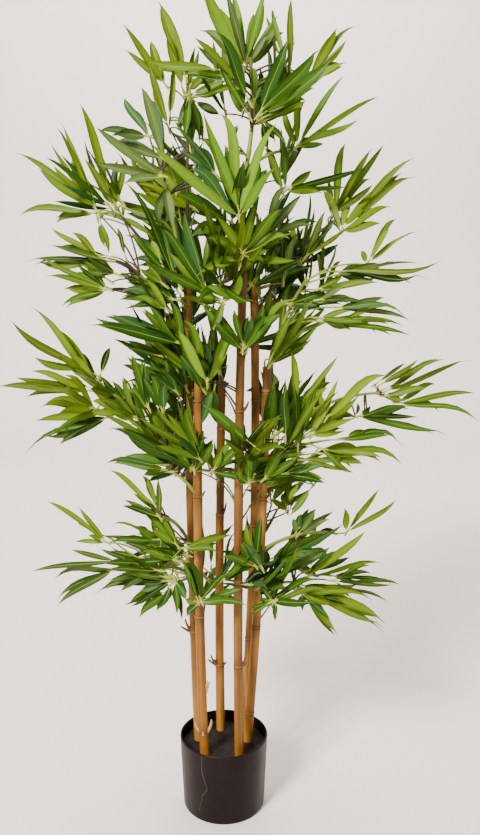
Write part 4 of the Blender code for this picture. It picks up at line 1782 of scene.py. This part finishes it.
MASSES: tuple[Foliage, ...] = (
    Foliage("leaves_crown_tip", "leader", (
        fan(35, -20, 1130, 3, 12, VIVID, (101, 95), (75, 105)),
        fan(35, -20, 1125, 3, 11, GREY, (55, 70), (51, 50), (109, 95)),
        ring(36, -8, 1130, 95, 15, 18, MIDDLE, (45, 140), 5, 100),
    ), 4231, 0, 0.0),
    Foliage("leaves_top_front", "leader", (
        fan(30, -55, 1110, 5, 20, VIVID, (116, 125)),
        fan(40, -65, 1065, 8, 19, DEEP, (117, 95)),
        fan(30, -50, 1090, 3, 11, MIDDLE, (138, 90)),
        fan(40, -50, 1050, 3, 10, DEEP, (119, 85)),
        fan(50, -65, 1050, 8, 19, DEEP, (71, 125), (46, 115)),
        fan(50, -55, 1050, 5, 16, DEEP, (36, 115), (26, 95)),
        fan(55, -45, 1050, 3, 15, VIVID, (35, 135), (19, 65)),
        fan(45, -45, 1070, 3, 9, DEEP, (93, 50), (68, 25)),
        fan(95, -30, 1105, 0, 9, OLIVE, (89, 105)),
        fan(90, -30, 1120, 0, 9, MIDDLE, (106, 85)),
        fan(5, -55, 1110, 3, 15, FRESH, (174, 105)),
        fan(10, -45, 1105, 3, 10, MIDDLE, (179, 65), (168, 45)),
        fan(55, -30, 1055, 3, 11, DEEP, (-72, 45), (-46, 55)),
    ), 6979, 0, 0.8),
    Foliage("leaves_top_right_high", "leader", (
        fan(125, 10, 1120, 0, 12, MIDDLE, (61, 75), (48, 100), (24, 55)),
    ), 1961, 0, 0.8),
    Foliage("leaves_top_right", "bough_top_right", (
        fan(105, 0, 1020, 5, 10, VIVID, (87, 95), (58, 115), (31, 135), (22, 100), (11, 45), (104, 60)),
    ), 9572, 0, 0.0),
    Foliage("leaves_top_left", "bough_top_left", (
        fan(-50, 10, 1095, 3, 12, MIDDLE, (17, 60)),
        fan(-40, 0, 1090, 3, 11, FRESH, (7, 70)),
        fan(-45, 10, 1090, 3, 10, GREY, (-26, 45)),
        fan(-50, 10, 1100, 3, 9, OLIVE, (33, 35), (75, 60)),
        fan(-50, 0, 1115, 0, 17, FRESH, (109, 105)),
        fan(-55, 10, 1100, 0, 12, OLIVE, (105, 80)),
        fan(-75, 0, 1045, 3, 13, OLIVE, (105, 90)),
        fan(-75, 10, 1060, 3, 9, FRESH, (88, 75)),
        fan(-45, -10, 1090, 3, 11, DEEP, (-93, 60), (-80, 65)),
        fan(-80, 20, 1110, 0, 12, FRESH, (126, 100), (142, 75), (124, 45), (110, 70)),
        fan(-45, -10, 1090, 5, 12, DEEP, (-93, 70), (-77, 55), (-65, 50), (-110, 50)),
    ), 6334, 0, 0.0),
    Foliage("leaves_upper_left_inner", "bough_upper_left_inner", (
        fan(-80, -30, 1000, 8, 16, GREY, (107, 100), (161, 75)),
        fan(-100, -30, 1030, 5, 12, GREY, (123, 65), (171, 70), (-178, 50)),
        fan(-80, -40, 975, 8, 15, GREY, (149, 110), (167, 95), (-170, 55)),
        fan(-5, -40, 975, 8, 13, BLUE, (133, 95), (145, 55), (121, 60)),
        fan(-45, 0, 1015, 5, 10, DEEP, (93, 75), (82, 75), (102, 60)),
        fan(-80, -20, 970, 5, 15, GREY, (-82, 75), (-100, 65)),
        fan(-60, -30, 825, 8, 12, DEEP, (119, 165), (132, 100), (116, 95), (133, 60)),
        fan(-85, -30, 855, 3, 10, FRESH, (113, 40)),
    ), 3292, 1, 0.4),
    Foliage("leaves_upper_left_outer", "bough_upper_left_outer", (
        fan(-165, 30, 955, 0, 12, FRESH, (105, 130)),
        fan(-185, 30, 935, 0, 12, FRESH, (139, 140), (111, 135)),
        fan(-185, 30, 935, 0, 13, DEEP, (117, 145), (145, 105)),
        fan(-160, 30, 940, 0, 10, OLIVE, (118, 80), (79, 70)),
        fan(-185, 20, 935, 0, 12, MIDDLE, (-179, 120), (-169, 75)),
        fan(-185, 20, 925, 0, 8, MIDDLE, (-79, 45)),
        fan(-145, 0, 940, 5, 12, MIDDLE, (-27, 85), (-24, 60)),
    ), 9989, 2, 1.0),
    Foliage("leaves_left_shoulder", "bough_left_shoulder", (
        fan(-155, -40, 860, 0, 10, DUSK, (175, 125), (-177, 120), (166, 90), (179, 120)),
        fan(-170, -40, 865, 0, 10, FRESH, (152, 85), (142, 50)),
        fan(-160, -50, 820, 3, 10, MIDDLE, (157, 100), (165, 80), (180, 60), (-158, 70), (132, 50)),
        fan(-145, -50, 840, 8, 10, DUSK, (148, 50), (170, 45), (146, 35)),
        fan(-175, -20, 925, 0, 10, FRESH, (-79, 55)),
        fan(-150, 0, 930, 5, 11, MIDDLE, (-35, 60)),
        fan(-85, -30, 805, 3, 10, DEEP, (167, 55), (155, 65), (-167, 45)),
        fan(-80, -40, 825, 3, 10, MIDDLE, (146, 45), (128, 45)),
        fan(-160, -45, 820, 0, 10, MIDDLE, (176, 60), (-162, 70), (138, 50)),
        fan(-75, -40, 790, 5, 10, MIDDLE, (148, 65), (156, 50), (128, 55), (154, 30)),
        fan(-105, -30, 815, 3, 10, GREY, (126, 50), (142, 50)),
        fan(-150, -40, 865, 0, 7, DUSK, (171, 95)),
        fan(-135, -30, 860, 3, 6, DUSK, (106, 50)),
        fan(-155, -50, 830, 3, 8, MIDDLE, (137, 45), (150, 50)),
    ), 8690, 0, 0.4),
    Foliage("leaves_left_middle", "cane_left", (
        fan(-55, -40, 740, 8, 14, DEEP, (158, 130), (163, 135), (165, 130), (155, 115), (156, 75),
            (128, 75), (102, 65)),
        fan(-65, -30, 805, 5, 11, DEEP, (170, 80), (157, 60), (179, 85), (-169, 75), (149, 45)),
        fan(-25, -50, 675, 8, 12, DEEP, (127, 60), (118, 50)),
        fan(-85, -40, 725, 3, 10, DEEP, (166, 50)),
        fan(-20, -60, 685, 8, 14, VIVID, (64, 90), (112, 100)),
    ), 1951, 12, 1.0),
    Foliage("leaves_centre_upper", "leader", (
        fan(25, -85, 915, 12, 18, VIVID, (144, 150), (112, 140), (100, 135), (66, 130), (56, 85)),
        fan(15, -60, 910, 12, 17, DEEP, (159, 90), (82, 85), (-162, 60)),
        fan(30, -75, 865, 12, 14, MIDDLE, (76, 70), (19, 70), (155, 55), (-153, 65), (-20, 30),
            (126, 65), (56, 80)),
        fan(-20, -60, 815, 10, 16, DEEP, (153, 105), (107, 110), (73, 75), (121, 100)),
        fan(0, -60, 800, 8, 11, MIDDLE, (174, 60), (151, 50), (45, 35)),
        fan(10, -30, 1015, 5, 8, DEEP, (65, 35), (-22, 30)),
        fan(5, -75, 805, 8, 10, MIDDLE, (172, 40), (-112, 45)),
        fan(20, -70, 805, 10, 10, VIVID, (156, 50), (82, 40)),
    ), 4145, 7, 1.0),
    Foliage("leaves_right_inner_upper", "bough_right_inner_upper", (
        fan(90, 0, 960, 8, 12, DEEP, (97, 85), (41, 50), (3, 90), (-8, 60), (16, 120), (121, 60)),
        fan(60, 0, 895, 10, 11, GREY, (49, 80), (12, 85), (61, 80)),
        fan(90, 0, 830, 5, 12, GREY, (76, 80), (92, 60), (108, 60)),
        fan(60, 0, 760, 8, 10, MIDDLE, (82, 60), (59, 50), (54, 70)),
    ), 9870, 1, 0.2),
    Foliage("leaves_upper_right", "bough_upper_right", (
        fan(165, 30, 930, 3, 12, MIDDLE, (83, 105), (54, 140), (61, 115), (109, 40), (39, 70)),
        fan(190, 30, 925, 0, 12, MIDDLE, (41, 140), (33, 105), (18, 35)),
        fan(120, 0, 865, 5, 7, OLIVE, (68, 75), (36, 85)),
    ), 2918, 2, 0.6),
    Foliage("leaves_right_shoulder", "bough_right_shoulder", (
        fan(205, -40, 855, 3, 10, FRESH, (57, 55), (55, 80), (36, 80), (111, 20)),
        fan(165, -40, 845, 3, 10, DUSK, (-1, 115), (-8, 110), (7, 65), (12, 80), (6, 145), (10, 115)),
        fan(135, -40, 820, 3, 10, OLIVE, (8, 85), (24, 40), (0, 30)),
        fan(160, -50, 795, 3, 9, GREY, (13, 80), (-11, 110), (-3, 85), (7, 55)),
        fan(140, -50, 775, 3, 9, MIDDLE, (-1, 130), (-6, 135), (-10, 110), (-16, 50), (9, 75)),
        fan(90, -30, 800, 8, 12, DEEP, (2, 85), (9, 65), (-11, 60)),
        fan(80, -20, 720, 10, 9, MIDDLE, (70, 105), (37, 80), (60, 90), (78, 115), (26, 45)),
        fan(70, -30, 720, 5, 11, MIDDLE, (70, 55), (65, 70), (52, 70)),
        fan(90, -30, 730, 5, 10, DEEP, (36, 60), (27, 30)),
        fan(70, -20, 710, 10, 9, MIDDLE, (78, 55), (64, 45), (58, 70), (45, 75), (34, 75)),
        fan(80, -10, 730, 8, 9, GREY, (68, 55), (61, 70), (57, 90), (51, 105)),
        fan(90, -20, 750, 8, 8, FRESH, (62, 55), (39, 55), (38, 80), (25, 75)),
        fan(160, -40, 840, 3, 12, DEEP, (17, 55), (-2, 65), (13, 40)),
        fan(135, -50, 805, 3, 9, GREY, (10, 50), (-5, 65), (24, 40)),
        fan(135, -50, 780, 3, 9, MIDDLE, (10, 50), (-8, 65), (-23, 45)),
    ), 3563, 0, 0.0),
    Foliage("leaves_centre_middle", "cane_front_right", (
        fan(30, -70, 740, 12, 12, DEEP, (131, 80), (75, 45), (48, 95), (149, 35), (38, 50), (105, 55)),
        fan(-20, -70, 690, 8, 16, VIVID, (117, 80), (63, 80)),
        fan(-10, -50, 685, 8, 12, BLUE, (-107, 65), (-86, 45)),
        fan(50, -90, 600, 5, 18, DEEP, (141, 100)),
        fan(60, -70, 605, 8, 17, DEEP, (80, 85)),
        fan(80, -70, 605, 8, 15, DEEP, (85, 95)),
        fan(30, -75, 735, 12, 15, DEEP, (133, 90), (133, 60), (43, 75), (55, 85), (78, 50)),
        fan(75, -80, 610, 5, 17, DEEP, (92, 85)),
        fan(90, -80, 610, 5, 17, DEEP, (89, 85)),
        fan(35, -70, 735, 8, 14, DEEP, (72, 70), (49, 65)),
    ), 2466, 3, 0.2),
    Foliage("leaves_outer_left", "bough_outer_left", (
        fan(-185, 0, 675, 0, 13, FRESH, (129, 150), (125, 110), (125, 70)),
        fan(-205, 0, 700, 0, 12, OLIVE, (146, 130), (165, 75), (141, 50)),
        fan(-195, 0, 670, 0, 12, FRESH, (161, 95), (172, 120), (179, 140), (-176, 110)),
        fan(-185, 0, 690, 3, 11, DUSK, (69, 50)),
        fan(-170, -20, 640, 0, 14, FRESH, (169, 90), (-174, 105), (174, 60)),
        fan(-165, -20, 635, 0, 11, DUSK, (-155, 155), (-163, 95), (-155, 90), (-165, 110)),
        fan(-140, -20, 645, 5, 10, DEEP, (124, 65), (151, 45), (125, 45)),
        fan(-125, -20, 630, 5, 12, MIDDLE, (126, 65), (149, 60), (165, 45), (111, 65)),
        fan(-145, -20, 640, 3, 11, FRESH, (158, 50), (177, 55), (145, 55)),
        fan(-190, 0, 685, 0, 11, FRESH, (139, 70), (148, 50)),
    ), 387, 2, 0.4),
    Foliage("leaves_inner_left", "bough_inner_left", (
        fan(-105, -50, 650, 8, 12, DEEP, (109, 80), (94, 70), (123, 50), (140, 40)),
        fan(-85, -50, 645, 10, 12, DEEP, (106, 60), (81, 50), (117, 55)),
        fan(-65, -30, 670, 8, 12, BLUE, (124, 65), (107, 60), (145, 55)),
        fan(-60, -60, 570, 8, 14, DEEP, (145, 110), (152, 105), (153, 50)),
        fan(-80, -60, 570, 3, 11, DEEP, (174, 85)),
        fan(-70, -60, 560, 3, 10, DEEP, (-178, 45)),
        fan(-50, -55, 570, 8, 14, DEEP, (152, 115), (146, 115)),
        fan(-80, -50, 560, 5, 10, MIDDLE, (172, 85), (-171, 35)),
        fan(-45, -60, 565, 8, 13, DEEP, (106, 75), (80, 60), (65, 55)),
        fan(-135, -40, 680, 5, 12, DEEP, (-66, 70)),
    ), 4143, 7, 0.8),
    Foliage("leaves_centre_low", "cane_front_right", (
        fan(-40, -60, 560, 12, 14, DEEP, (81, 70), (101, 65), (124, 60), (58, 55), (141, 75)),
        fan(-15, -60, 560, 8, 12, DEEP, (42, 60), (-9, 50), (59, 55), (65, 35)),
        fan(40, -60, 540, 10, 12, DEEP, (80, 65), (99, 55), (131, 30)),
        fan(60, -50, 545, 10, 11, MIDDLE, (62, 65), (48, 60), (34, 60), (69, 55), (15, 60)),
    ), 5240, 6, 0.4),
    Foliage("leaves_outer_right", "bough_outer_right", (
        fan(265, 20, 650, 0, 10, MIDDLE, (7, 120), (-12, 130), (-13, 70), (23, 65)),
        fan(245, 20, 665, 0, 10, MIDDLE, (23, 130), (29, 100), (35, 60)),
        fan(235, 20, 675, 0, 8, OLIVE, (27, 110), (39, 75)),
        fan(200, 0, 630, 3, 11, DUSK, (11, 85), (-1, 90), (-10, 130), (39, 30), (81, 25)),
        fan(220, 10, 630, 3, 10, DUSK, (12, 65), (0, 80), (-11, 110)),
        fan(245, 20, 660, 0, 11, FRESH, (14, 65), (-13, 30)),
    ), 8181, 0, 0.2),
    Foliage("leaves_inner_right", "bough_inner_right", (
        fan(110, -40, 650, 5, 10, FRESH, (97, 85), (53, 95), (39, 55)),
        fan(115, -40, 605, 10, 9, MIDDLE, (55, 90), (75, 85), (58, 70)),
        fan(150, -50, 635, 5, 12, FRESH, (41, 110), (47, 55), (102, 35)),
        fan(140, -60, 595, 5, 12, MIDDLE, (-10, 90), (-14, 120), (-8, 70), (-33, 60)),
        fan(165, -50, 605, 5, 10, DEEP, (7, 75), (-6, 100)),
        fan(125, -50, 610, 5, 10, FRESH, (8, 55), (23, 70), (57, 60)),
        fan(90, -50, 555, 10, 11, DEEP, (-10, 60), (13, 65), (28, 40)),
        fan(115, -40, 545, 5, 10, FRESH, (-111, 40)),
        fan(135, -40, 535, 5, 10, MIDDLE, (-130, 55)),
        fan(110, -50, 585, 5, 12, DEEP, (91, 105), (81, 85)),
        fan(130, -50, 610, 8, 11, FRESH, (65, 95), (41, 90)),
        fan(140, -50, 585, 5, 12, FRESH, (-13, 65), (0, 90)),
        fan(175, -40, 605, 3, 10, DEEP, (8, 65), (19, 35)),
        fan(115, -50, 575, 3, 9, MIDDLE, (-9, 75), (12, 60)),
        fan(90, -40, 585, 5, 10, MIDDLE, (72, 85), (64, 100), (59, 110)),
    ), 7207, 0, 0.0),
    Foliage("leaves_low_left_upper", "bough_low_left_upper", (
        fan(-95, -70, 510, 5, 10, FRESH, (134, 85), (105, 45)),
        fan(-90, -70, 495, 5, 9, DUSK, (156, 60), (89, 60)),
        fan(-65, -65, 450, 8, 11, MIDDLE, (138, 90), (144, 45), (114, 55)),
        fan(-90, -60, 490, 5, 8, DUSK, (131, 40), (102, 25)),
    ), 1427, 0, 1.0),
    Foliage("leaves_low_left", "bough_low_left", (
        fan(-60, -60, 445, 5, 14, MIDDLE, (24, 85), (-3, 55)),
        fan(-170, -50, 450, 0, 8, OLIVE, (143, 110), (130, 70), (-177, 50), (158, 30)),
        fan(-90, -50, 455, 3, 8, DUSK, (174, 90), (-179, 75), (-176, 60)),
        fan(-155, -60, 415, 0, 11, DUSK, (-145, 110), (-153, 100), (-163, 125)),
        fan(-150, -60, 425, 0, 10, DUSK, (-175, 130), (172, 75)),
        fan(-75, -60, 395, 5, 11, DUSK, (-168, 110), (159, 85), (-151, 70), (178, 90)),
        fan(-70, -50, 420, 8, 11, DUSK, (154, 55), (158, 85), (104, 50)),
        fan(-70, -60, 385, 10, 11, DEEP, (-82, 50), (-125, 45)),
        fan(-65, -60, 425, 5, 12, DEEP, (159, 55), (145, 50), (178, 90)),
        fan(-90, -60, 410, 5, 11, DUSK, (163, 60), (174, 85)),
        fan(-75, -60, 390, 8, 11, DEEP, (-155, 75), (-170, 50), (-118, 40)),
        fan(-70, -65, 400, 8, 10, DEEP, (-82, 55), (-57, 35)),
        fan(-50, -50, 430, 3, 12, DEEP, (164, 60), (145, 55)),
        fan(-80, -60, 400, 3, 11, DUSK, (162, 85), (172, 75)),
        fan(-120, -55, 420, 3, 9, DUSK, (161, 65), (171, 55)),
        fan(-80, -60, 380, 5, 12, DEEP, (-165, 60), (-140, 60)),
        fan(-105, -60, 410, 5, 10, DUSK, (-153, 55), (-166, 65), (159, 35)),
    ), 8208, 0, 0.2),
    Foliage("leaves_low_front", "cane_front_left", (
        fan(-35, -70, 365, 12, 12, DEEP, (108, 75), (46, 70), (6, 60), (167, 20), (-131, 25)),
        fan(-30, -70, 365, 10, 15, DEEP, (118, 75), (102, 80)),
        fan(-25, -70, 370, 10, 12, DEEP, (-6, 60), (17, 55)),
    ), 290, 1, 0.0),
    Foliage("leaves_low_right_inner", "cane_right", (
        fan(50, -55, 415, 8, 13, DEEP, (124, 45), (80, 80), (102, 70), (160, 60)),
        fan(40, -50, 385, 8, 10, DEEP, (176, 45)),
        fan(75, -40, 355, 10, 8, DEEP, (-83, 30), (-150, 40), (129, 25)),
        fan(60, -55, 410, 8, 13, DEEP, (120, 55), (101, 65)),
    ), 8233, 4, 0.0),
    Foliage("leaves_low_right", "bough_low_right", (
        fan(70, -20, 405, 5, 14, DEEP, (31, 135), (20, 95), (20, 55), (113, 25)),
        fan(115, 0, 445, 3, 11, GREY, (59, 50), (31, 60), (106, 30)),
        fan(125, -20, 385, 0, 13, FRESH, (43, 120), (18, 120)),
        fan(165, -20, 380, 0, 9, DUSK, (18, 65), (2, 110), (-10, 100), (-21, 95)),
        fan(120, -30, 370, 3, 14, FRESH, (-19, 130), (-23, 130), (-53, 90)),
        fan(120, -30, 365, 5, 11, DEEP, (-41, 55), (-89, 30), (-11, 65)),
        fan(80, -30, 390, 5, 12, DUSK, (32, 95), (33, 45)),
        fan(80, -40, 355, 8, 7, DEEP, (-90, 25), (-163, 20), (-162, 40)),
        fan(115, -30, 370, 3, 15, FRESH, (-9, 80), (-10, 115), (-22, 60)),
    ), 7211, 0, 0.8),
    Foliage("leaves_low_right_upper", "bough_low_right_upper", (
        fan(195, 30, 440, 0, 11, FRESH, (54, 85), (33, 100), (94, 40), (62, 40)),
    ), 6108, 0, 0.0),
    Foliage("leaves_back_top", "leader", (
        ring(45, 45, 1062, 95, 20, 17, DEEP, (95, 150), 6, 105),
        ring(30, 85, 1085, 75, 30, 18, MIDDLE, (60, 120), 4, 90),
        ring(70, 20, 1095, 5, 10, 14, MIDDLE, (25, 155), 6, 105),
        ring(5, 35, 1075, 175, 10, 14, DEEP, (25, 155), 6, 100),
        ring(85, 60, 985, 8, 15, 15, MIDDLE, (15, 165), 7, 105),
        ring(-40, 60, 990, 172, 15, 15, DEEP, (15, 165), 7, 100),
    ), 166, 0, 0.0),
    Foliage("leaves_back_upper_left", "bough_back_upper_left", (
        ring(-85, 120, 930, 120, 20, 17, MIDDLE, (5, 170), 8, 110),
        ring(-110, 145, 960, 140, 10, 16, FRESH, (50, 150), 5, 110),
        ring(-80, 50, 810, 175, 15, 15, MIDDLE, (25, 155), 7, 105),
        ring(-60, 115, 900, 100, 30, 18, DEEP, (-30, 90), 5, 95),
    ), 3097, 4, 0.4),
    Foliage("leaves_back_upper_right", "bough_back_upper_right", (
        ring(110, 135, 845, 60, 25, 16, MIDDLE, (10, 105), 5, 100),
        ring(150, 70, 815, 5, 12, 15, MIDDLE, (25, 155), 6, 100),
        ring(130, 160, 865, 40, 20, 16, DEEP, (40, 150), 5, 95),
        ring(80, 125, 825, 85, 30, 18, DEEP, (90, 210), 5, 85),
    ), 6018, 8, 0.6),
    Foliage("leaves_back_middle_left", "cane_back_left", (
        ring(-70, 130, 655, 125, 20, 17, MIDDLE, (0, 180), 8, 110),
        ring(-110, 175, 665, 140, 15, 16, FRESH, (20, 160), 6, 100),
        ring(-30, 105, 640, 95, 30, 18, DEEP, (-30, 150), 6, 95),
    ), 9301, 7, 0.8),
    Foliage("leaves_back_middle_right", "cane_back_right", (
        ring(110, 120, 612, 60, 35, 17, MIDDLE, (10, 170), 7, 92),
        ring(150, 165, 600, 40, 30, 16, MIDDLE, (30, 170), 5, 88),
        ring(80, 105, 625, 90, 40, 17, DEEP, (30, 210), 6, 88),
    ), 2523, 4, 0.0),
    Foliage("leaves_back_low_left", "cane_back_left", (
        fan(-20, 30, 380, 0, 9, DEEP, (91, 65)),
        ring(-75, 105, 372, 130, 15, 16, MIDDLE, (-20, 80), 6, 90),
        ring(-110, 135, 378, 145, 10, 15, DEEP, (-10, 70), 4, 80),
    ), 3336, 2, 0.2),
    Foliage("leaves_back_low_right", "cane_back_right", (
        ring(104, 60, 466, 275, 0, 10, MIDDLE, (44, 136), 3, 50),
        ring(100, 110, 372, 50, 15, 16, MIDDLE, (100, 200), 6, 90),
        ring(140, 140, 378, 35, 10, 15, DEEP, (110, 190), 4, 80),
    ), 6708, 2, 0.6),
)


# ---------------------------------------------------------------- studio

@dataclass(frozen=True)
class Lamp:
    """A soft square light: size is its side, target is where it points, and power is in watts."""

    name: str
    place: Place
    size: float
    power: float
    colour: Colour
    target: Place = (0.0, 0.0, 0.6)

    def build(self) -> None:
        """Makes the light and turns it to its target."""
        data = bpy.data.lights.new(self.name, "AREA")
        data.shape = "SQUARE"
        data.size = self.size
        data.energy = self.power
        data.color = self.colour
        lamp = bpy.data.objects.new(self.name, data)
        lamp.location = self.place
        aim = np.array(self.target) - np.array(self.place)
        yaw = math.atan2(aim[0], -aim[1])
        pitch = math.atan2(math.hypot(aim[0], aim[1]), -aim[2])
        lamp.rotation_euler = (pitch, 0.0, yaw + math.pi)
        bpy.context.scene.collection.objects.link(lamp)


LAMPS: tuple[Lamp, ...] = (
    Lamp("key light", (-2.5, -3.7, 3.9), 1.2, 820.0, (1.0, 0.98, 0.95)),
    Lamp("fill light", (2.4, -1.8, 1.8), 1.6, 22.0, (0.96, 0.98, 1.0)),
    Lamp("backdrop light", (0.0, 2.0, 4.6), 3.0, 330.0, (1.0, 1.0, 1.0), (0.0, 4.6, 1.2)),
)
SWEEP_STEPS = 25
SENSOR_MM = 36.0


@dataclass(frozen=True)
class Studio:
    """The pale floor, the soft lights and the camera.

    The camera looks down by camera_pitch degrees, and lens is in millimetres on a 36 mm sensor. World is
    the light all round. The floor reaches half_width to each side and to the front, and bend is the
    radius between it and the backdrop.
    """

    camera_place: Place = EYE
    camera_pitch: float = 8.62
    lens: float = 32.77
    world: Colour = (1.0, 0.985, 0.97)
    world_strength: float = 0.62
    half_width: float = 9.0
    backdrop_y: float = 4.6
    backdrop_height: float = 6.0
    bend: float = 1.6

    def sweep(self) -> None:
        """A wide pale floor that bends up into a backdrop behind the plant.

        Its half section runs level to the bend, round a quarter circle and up, and is drawn out level.
        """
        turn = np.linspace(0.0, 0.5 * math.pi, SWEEP_STEPS)
        bend_y = self.backdrop_y - self.bend
        along = np.concatenate([[-self.half_width], bend_y + self.bend * np.sin(turn), [self.backdrop_y]])
        up = np.concatenate([[0.0], self.bend * (1.0 - np.cos(turn)), [self.backdrop_height]])
        count = len(along)
        points = np.zeros((2, count, 3))
        points[0, :, 0], points[1, :, 0] = self.half_width, -self.half_width
        points[:, :, 1], points[:, :, 2] = along, up
        first = np.arange(count - 1)
        quads = np.stack([first, first + 1, first + 1 + count, first + count], axis=1)
        mesh = bpy.data.meshes.new("floor")
        mesh.from_pydata(points.reshape(-1, 3).tolist(), [], quads.tolist())
        mesh.materials.append(FLOOR_FINISH.material())
        mesh.shade_smooth()
        floor = bpy.data.objects.new("floor", mesh)
        bpy.context.scene.collection.objects.link(floor)

    def build(self) -> None:
        """Makes the floor, the world, the lights and the camera."""
        self.sweep()
        world = bpy.data.worlds.new("soft room")
        world.use_nodes = True
        background = world.node_tree.nodes["Background"]
        background.inputs["Color"].default_value = (*self.world, 1.0)
        background.inputs["Strength"].default_value = self.world_strength
        bpy.context.scene.world = world
        for lamp in LAMPS:
            lamp.build()
        data = bpy.data.cameras.new("camera")
        data.lens = self.lens
        data.sensor_width = SENSOR_MM
        data.sensor_fit = "AUTO"
        camera = bpy.data.objects.new("camera", data)
        camera.location = self.camera_place
        camera.rotation_euler = (math.radians(90.0 - self.camera_pitch), 0.0, 0.0)
        bpy.context.scene.collection.objects.link(camera)
        bpy.context.scene.camera = camera


def main() -> None:
    """Builds the plant from the pot upwards, then the studio."""
    Pot().build()
    Filling().build()
    cane_finishes = [
        RIDGE_AND_HIGHLIGHT_FINISH.material(), SCAR_AND_SHADOW_FINISH.material(), CUT_FINISH.material(),
        STUB_FINISH.material(), DARK_STUB_FINISH.material(),
    ]
    for cane in CANES:
        cane.build(cane_finishes)
    finishes = {finish.name: finish.material() for finish in LEAF_FINISHES.values()}
    finishes["rib"] = RIB_FINISH.material()
    finishes["twig"] = TWIG_FINISH.material()
    finishes["brown twig"] = BROWN_TWIG_FINISH.material()
    finishes["collar"] = COLLAR_FINISH.material()
    LEADER.build([finishes["twig"]])
    for bough in BOUGHS:
        bough.build([finishes["twig"]], [finishes["brown twig"]])
    grower = Grower()
    total = sum(grower.build(mass, finishes, number % 2 == 1) for number, mass in enumerate(MASSES))
    LOG.info("%d leaves in %d masses", total, len(MASSES))
    Studio().build()


if __name__ == "__main__":
    main()
